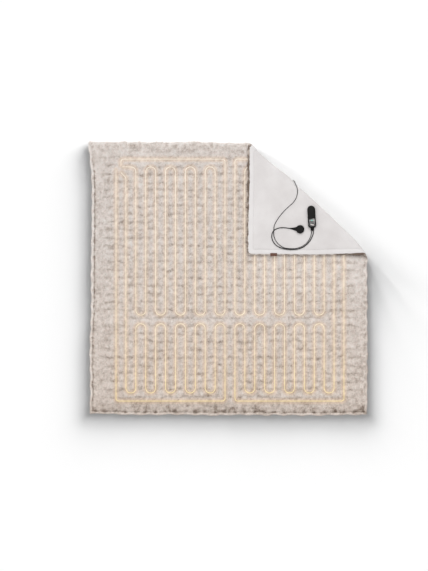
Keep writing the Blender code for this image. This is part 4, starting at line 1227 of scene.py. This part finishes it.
satin_black = moulded("satin_black_shell", (0.0035, 0.0032, 0.0030), 0.42, 0.35, 0.16)
shell_rings = [at_height(handset_outline(inset), z) for z, inset in HANDSET_RINGS]
window_edge = towards(panel_outline(PANEL_GAP), handset_outline(HANDSET_RINGS[-1][1]))
shell_rings += [at_height(window_edge, HANDSET_FACE - depth) for depth in (0.0, PANEL_DEPTH)]
placed = (HANDSET_PLACE, HANDSET_TURN)
lofted("control_shell", shell_rings, *placed, satin_black, "satin_black", "handset_shell")
window_rings = [at_height(panel_outline(grow), HANDSET_FACE + rise) for rise, grow in PANEL_RINGS]
lofted("control_window", window_rings, *placed, smoked_window_painted_reflection(), "gloss_black", "handset_panel")
white_lamp = lamp_finish("white_lamp_glow", (0.60, 0.64, 0.63), 0.30)
teal_lamp = lamp_finish("teal_lamp_glow", (0.24, 0.74, 0.60), 0.80)
for number, finish, slot in (
    (1, white_lamp, "white_lamp"), (2, teal_lamp, "teal_lamp"), (3, white_lamp, "white_lamp"),
):
    middle = ((number - 2) * LAMP_PITCH, LAMP_ROW)
    dome = [
        at_height(circle(middle, share * LAMP_DIAMETER / 2, 24), HANDSET_FACE + rise)
        for rise, share in LAMP_DOME
    ]
    lofted(f"control_lamp_{number}", dome, *placed, finish, slot, f"handset_lamp_{number}")
# The key's pale grey is partly its own colour and partly a painted glint along its slant.
pale_key = moulded("pale_touch_key_painted_glint", (0.460, 0.430, 0.415), 0.25, 0.2, 0.5)
half_key = (KEY_LENGTH - KEY_WIDTH) / 2
lean_x, lean_y = math.cos(KEY_TURN), math.sin(KEY_TURN)
key_rings = []
for rise, inset in KEY_RINGS:
    radius = KEY_WIDTH / 2 - inset
    pill = arc((half_key, 0), radius, -90, 90, 12) + arc((-half_key, 0), radius, 90, 270, 12)
    leaning = [(x * lean_x - y * lean_y, x * lean_y + y * lean_x + KEY_MIDDLE) for x, y in pill]
    key_rings.append(at_height(leaning, HANDSET_FACE + rise))
lofted("control_key", key_rings, *placed, pale_key, "pale_key", "handset_key")
soft_black = moulded("soft_black_boot", (0.0045, 0.0042, 0.0040), 0.55, 0.5, 0.2)
section = circle((0, 0), 1.0, 24)
boot_rings = []
for share, half_width, half_height in BOOT_SECTIONS:
    y = -HANDSET_LENGTH / 2 + BOOT_OVERLAP - share * (BOOT_LENGTH + BOOT_OVERLAP)
    boot_rings.append(
        [(half_width * u, y, half_height * (1 + v) + BOOT_LIFT) for u, v in section]
    )
lofted("control_boot", boot_rings, *placed, soft_black, "satin_black", "handset_boot")

# Round connector
# A flat black disc with a shallow ring moulded into its top, which plugs into the supply. Its
# tapered rubber boot is moulded over the end of the thicker lead.

CONNECTOR_PLACE = (0.3826, 0.2659, FLAP_TOP + CLEARANCE)
CONNECTOR_TURN = math.radians(175.3)
# Height and radius of each ring, bottom to top and in to the middle
CONNECTOR_RINGS = (
    (0.0, 0.0205), (0.0005, 0.0216), (0.0018, 0.0226), (0.0052, 0.0226), (0.0054, 0.0223),
    (0.0057, 0.0223), (0.0059, 0.0226), (0.0080, 0.0226), (0.0092, 0.0221), (0.0102, 0.0208),
    (0.0108, 0.0192), (0.0110, 0.0175), (0.0110, 0.0142), (0.0106, 0.0138), (0.0106, 0.0130),
    (0.0110, 0.0126), (0.0112, 0.0080), (0.0113, 0.0030),
)
CONNECTOR_BOOT_START, CONNECTOR_BOOT_END = 0.0190, 0.0560  # from the disc's middle
CONNECTOR_BOOT_HEIGHT = 0.0050  # of the boot's middle where it leaves the disc
# Share of the boot's length, half width, half height
CONNECTOR_BOOT_SECTIONS = (
    (0.0, 0.0108, 0.0043), (0.10, 0.0105, 0.0042), (0.22, 0.0090, 0.0040), (0.34, 0.0073, 0.0038),
    (0.46, 0.0060, 0.0035), (0.60, 0.0049, 0.0032), (0.75, 0.0041, 0.0030), (0.90, 0.0034, 0.0028),
    (1.0, 0.0031, 0.0027),
)

disc_rings = [at_height(circle((0, 0), radius, 72), z) for z, radius in CONNECTOR_RINGS]
placed = (CONNECTOR_PLACE, CONNECTOR_TURN)
connector = lofted(
    "connector_face", disc_rings, *placed, satin_black, "satin_black", "connector_disc"
)
lead_height = POWER_LEAD[-1][2] - CONNECTOR_PLACE[2]
sleeve_rings = []
for share, half_width, half_height in CONNECTOR_BOOT_SECTIONS:
    middle = CONNECTOR_BOOT_HEIGHT + share * (lead_height - CONNECTOR_BOOT_HEIGHT)
    x = CONNECTOR_BOOT_START + share * (CONNECTOR_BOOT_END - CONNECTOR_BOOT_START)
    sleeve_rings.append([(x, half_width * u, middle + half_height * v) for u, v in section])
sleeve = lofted(
    "connector_sleeve", sleeve_rings, *placed, soft_black, "satin_black", "connector_boot"
)

# Lead outlet
# A small grey moulded block sewn flat against the outside of the fold, where the thin lead leaves
# the blanket.

GLAND_PLACE = (0.3508, 0.5270, 0.0150)
GLAND_LENGTH, GLAND_DEPTH, GLAND_HEIGHT = 0.0180, 0.0044, 0.0140
GLAND_CORNER = 0.0012
# Share of the block's height, and how far in, of each of its rings
GLAND_RINGS = (
    (-0.50, 0.0012), (-0.47, 0.0005), (-0.41, 0.0), (0.02, 0.0), (0.05, -0.0003), (0.12, -0.0003),
    (0.15, 0.0), (0.41, 0.0), (0.47, 0.0005), (0.50, 0.0012),
)


def block_outline(inset):
    """A rectangle with rounded corners."""
    across, up = GLAND_LENGTH / 2 - inset - GLAND_CORNER, GLAND_DEPTH / 2 - inset - GLAND_CORNER
    corners = (((across, up), 0), ((-across, up), 90), ((-across, -up), 180), ((across, -up), 270))
    return [
        point
        for middle, start in corners
        for point in arc(middle, GLAND_CORNER, start, start + 90, 5)
    ]


outlet_finish = moulded("grey_outlet", (0.420, 0.400, 0.390), 0.45, 0.5, 0.4)
outlet_rings = [
    at_height(block_outline(inset), share * GLAND_HEIGHT) for share, inset in GLAND_RINGS
]
placed = (GLAND_PLACE, math.atan2(FOLD_ALONG[1], FOLD_ALONG[0]))
lofted("lead_outlet", outlet_rings, *placed, outlet_finish, "gland_grey", "lead_gland")

# Side label
# A bare loop of brown woven tape, folded in half and caught under the edge of the velour, near the
# folded corner's lower end.

LABEL_SIDES = (0.2221, 0.2584)  # X of the tape's two sides
TAPE_THICKNESS = 0.0004
TAPE_COLUMNS = 33
TAPE_REST, TAPE_WAVES = 0.0004, 0.0003  # how high the tape lies over the flap, and how wavy it is
# Along the tape from one cut end round the loop to the other: place up the flap, height above it
TAPE_LINE = (
    (0.1375, 0.0004), (0.1340, 0.0004), (0.1290, 0.0005), (0.1245, 0.0006), (0.1226, 0.0006),
    (0.1216, 0.0010), (0.1215, 0.0015), (0.1222, 0.0020), (0.1240, 0.0021), (0.1285, 0.0018),
    (0.1335, 0.0015), (0.1375, 0.0012),
)


def label():
    """The folded tape, with its two sides and its cut edges."""
    across = np.linspace(*LABEL_SIDES, TAPE_COLUMNS)
    line = np.array(TAPE_LINE)
    heading = np.gradient(line, axis=0)
    heading /= np.linalg.norm(heading, axis=1)[:, None]
    skins = []
    for side in (-1, 1):
        aside = np.stack((-heading[:, 1], heading[:, 0]), axis=1)
        edge = line + side * TAPE_THICKNESS / 2 * aside
        x, y = np.meshgrid(across, edge[:, 0])
        _, z = np.meshgrid(across, edge[:, 1])
        z = FLAP_TOP + TAPE_REST + z + TAPE_WAVES * patches(x, y, 0.009, 61)
        skins.append(np.stack((x, y, z), axis=-1))
    rows = len(line)
    numbers = np.arange(rows * TAPE_COLUMNS).reshape(rows, TAPE_COLUMNS)
    round_edge = (numbers[0], numbers[1:, -1], numbers[-1, -2::-1], numbers[-2:0:-1, 0])
    rim = np.concatenate(round_edge)
    after = np.roll(rim, -1)
    outer = grid_faces(rows, TAPE_COLUMNS, turned=True)
    inner = grid_faces(rows, TAPE_COLUMNS) + numbers.size
    walls = np.stack((rim, after, after + numbers.size, rim + numbers.size), axis=1)
    finish = Finish("brown_tape_weave", Roughness=0.85, Sheen_Weight=0.2, Specular_IOR_Level=0.15)
    warp, weft = (
        finish.node(
            "ShaderNodeTexWave", {"wave_type": "BANDS", "bands_direction": direction},
            {"Vector": finish.place(), "Scale": 420, "Distortion": 1.0},
        )
        for direction in "XY"
    )
    weave = 0.5 * warp + 0.5 * weft
    colour = finish.ramp(weave, ((0.2, (0.090, 0.044, 0.032)), (0.8, (0.210, 0.110, 0.082))))
    material = finish.feed(Base_Color=colour, Normal=finish.bump(weave, 0.0003, 0.6))
    points = np.concatenate([skin.reshape(-1, 3) for skin in skins])
    return add_mesh("side_label_tape", points, np.concatenate((outer, inner, walls)), material)


side_label = label()
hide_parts("side_label")

# Studio
# A plain pale floor under soft light from all round. Wide soft boxes hang above the blanket. Rows
# of low ones stand beyond each top corner and light the other half of the floor alone, so that a
# soft shade falls round the blanket.

FLOOR_SIZE = 14.0
FLOOR_LEVEL = -0.0004
SKY_STRENGTH = 0.36
# Azimuth, elevation, softness as an angle, and share of a level surface's brightness
HIGH_BOXES = {"high_box_top": (80, 60, 54, 0.42), "high_box_side": (200, 62, 60, 0.24)}
FLOOR_AZIMUTHS = {"right": (28, 44, 60), "left": (114, 131, 148)}  # of the low boxes in each row
# Elevation, softness, and share of all the boxes in a row together
LOW_BOXES = {"low_box": (4.0, 7.4, 0.37), "wide_box": (9.5, 18, 0.32)}


def soft_light(name, lit, azimuth, elevation, softness, share):
    """A distant soft light on one collection alone, which gives this share of its brightness."""
    data = bpy.data.lights.new(name, "SUN")
    data.angle = math.radians(softness)
    data.energy = share * math.pi / math.sin(math.radians(elevation))
    light = set_down(name, data)
    light.rotation_euler = (0, math.radians(90 - elevation), math.radians(azimuth))
    light.light_linking.receiver_collection = lit


blanket_lit = bpy.data.collections.new("blanket_lit")
for piece in bpy.context.scene.objects:
    if piece.type in {"MESH", "CURVE"}:
        blanket_lit.objects.link(piece)
for name, settings in HIGH_BOXES.items():
    soft_light(name, blanket_lit, *settings)

world = bpy.data.worlds.new("studio")
world.use_nodes = True
sky = world.node_tree.nodes["Background"]
sky.inputs["Color"].default_value = (1.0, 1.0, 1.0, 1)
sky.inputs["Strength"].default_value = SKY_STRENGTH
bpy.context.scene.world = world
bpy.context.scene.view_settings.view_transform = "Standard"

floor_finish = Finish(
    "pale_floor", Base_Color=(0.97, 0.97, 0.97, 1), Roughness=0.9, Specular_IOR_Level=0.1
)
for side, outer in (("right", -FLOOR_SIZE / 2), ("left", FLOOR_SIZE / 2)):
    across, along = sorted((0, outer)), (-FLOOR_SIZE / 2, FLOOR_SIZE / 2)
    floor_mesh = bpy.data.meshes.new(f"floor_lit_from_{side}")
    corners = zip((*across, *across[::-1]), np.repeat(along, 2))
    floor_mesh.from_pydata([(x, y, FLOOR_LEVEL) for x, y in corners], [], [(0, 1, 2, 3)])
    floor_mesh.materials.append(floor_finish.material)
    floor = set_down(f"floor_lit_from_{side}", floor_mesh)
    floor_lit = bpy.data.collections.new(f"floor_lit_from_{side}")
    floor_lit.objects.link(floor)
    azimuths = FLOOR_AZIMUTHS[side]
    for name, (elevation, softness, share) in LOW_BOXES.items():
        for azimuth in azimuths:
            soft_light(
                f"{name}_{side}_{azimuth}", floor_lit, azimuth, elevation, softness,
                share / len(azimuths),
            )
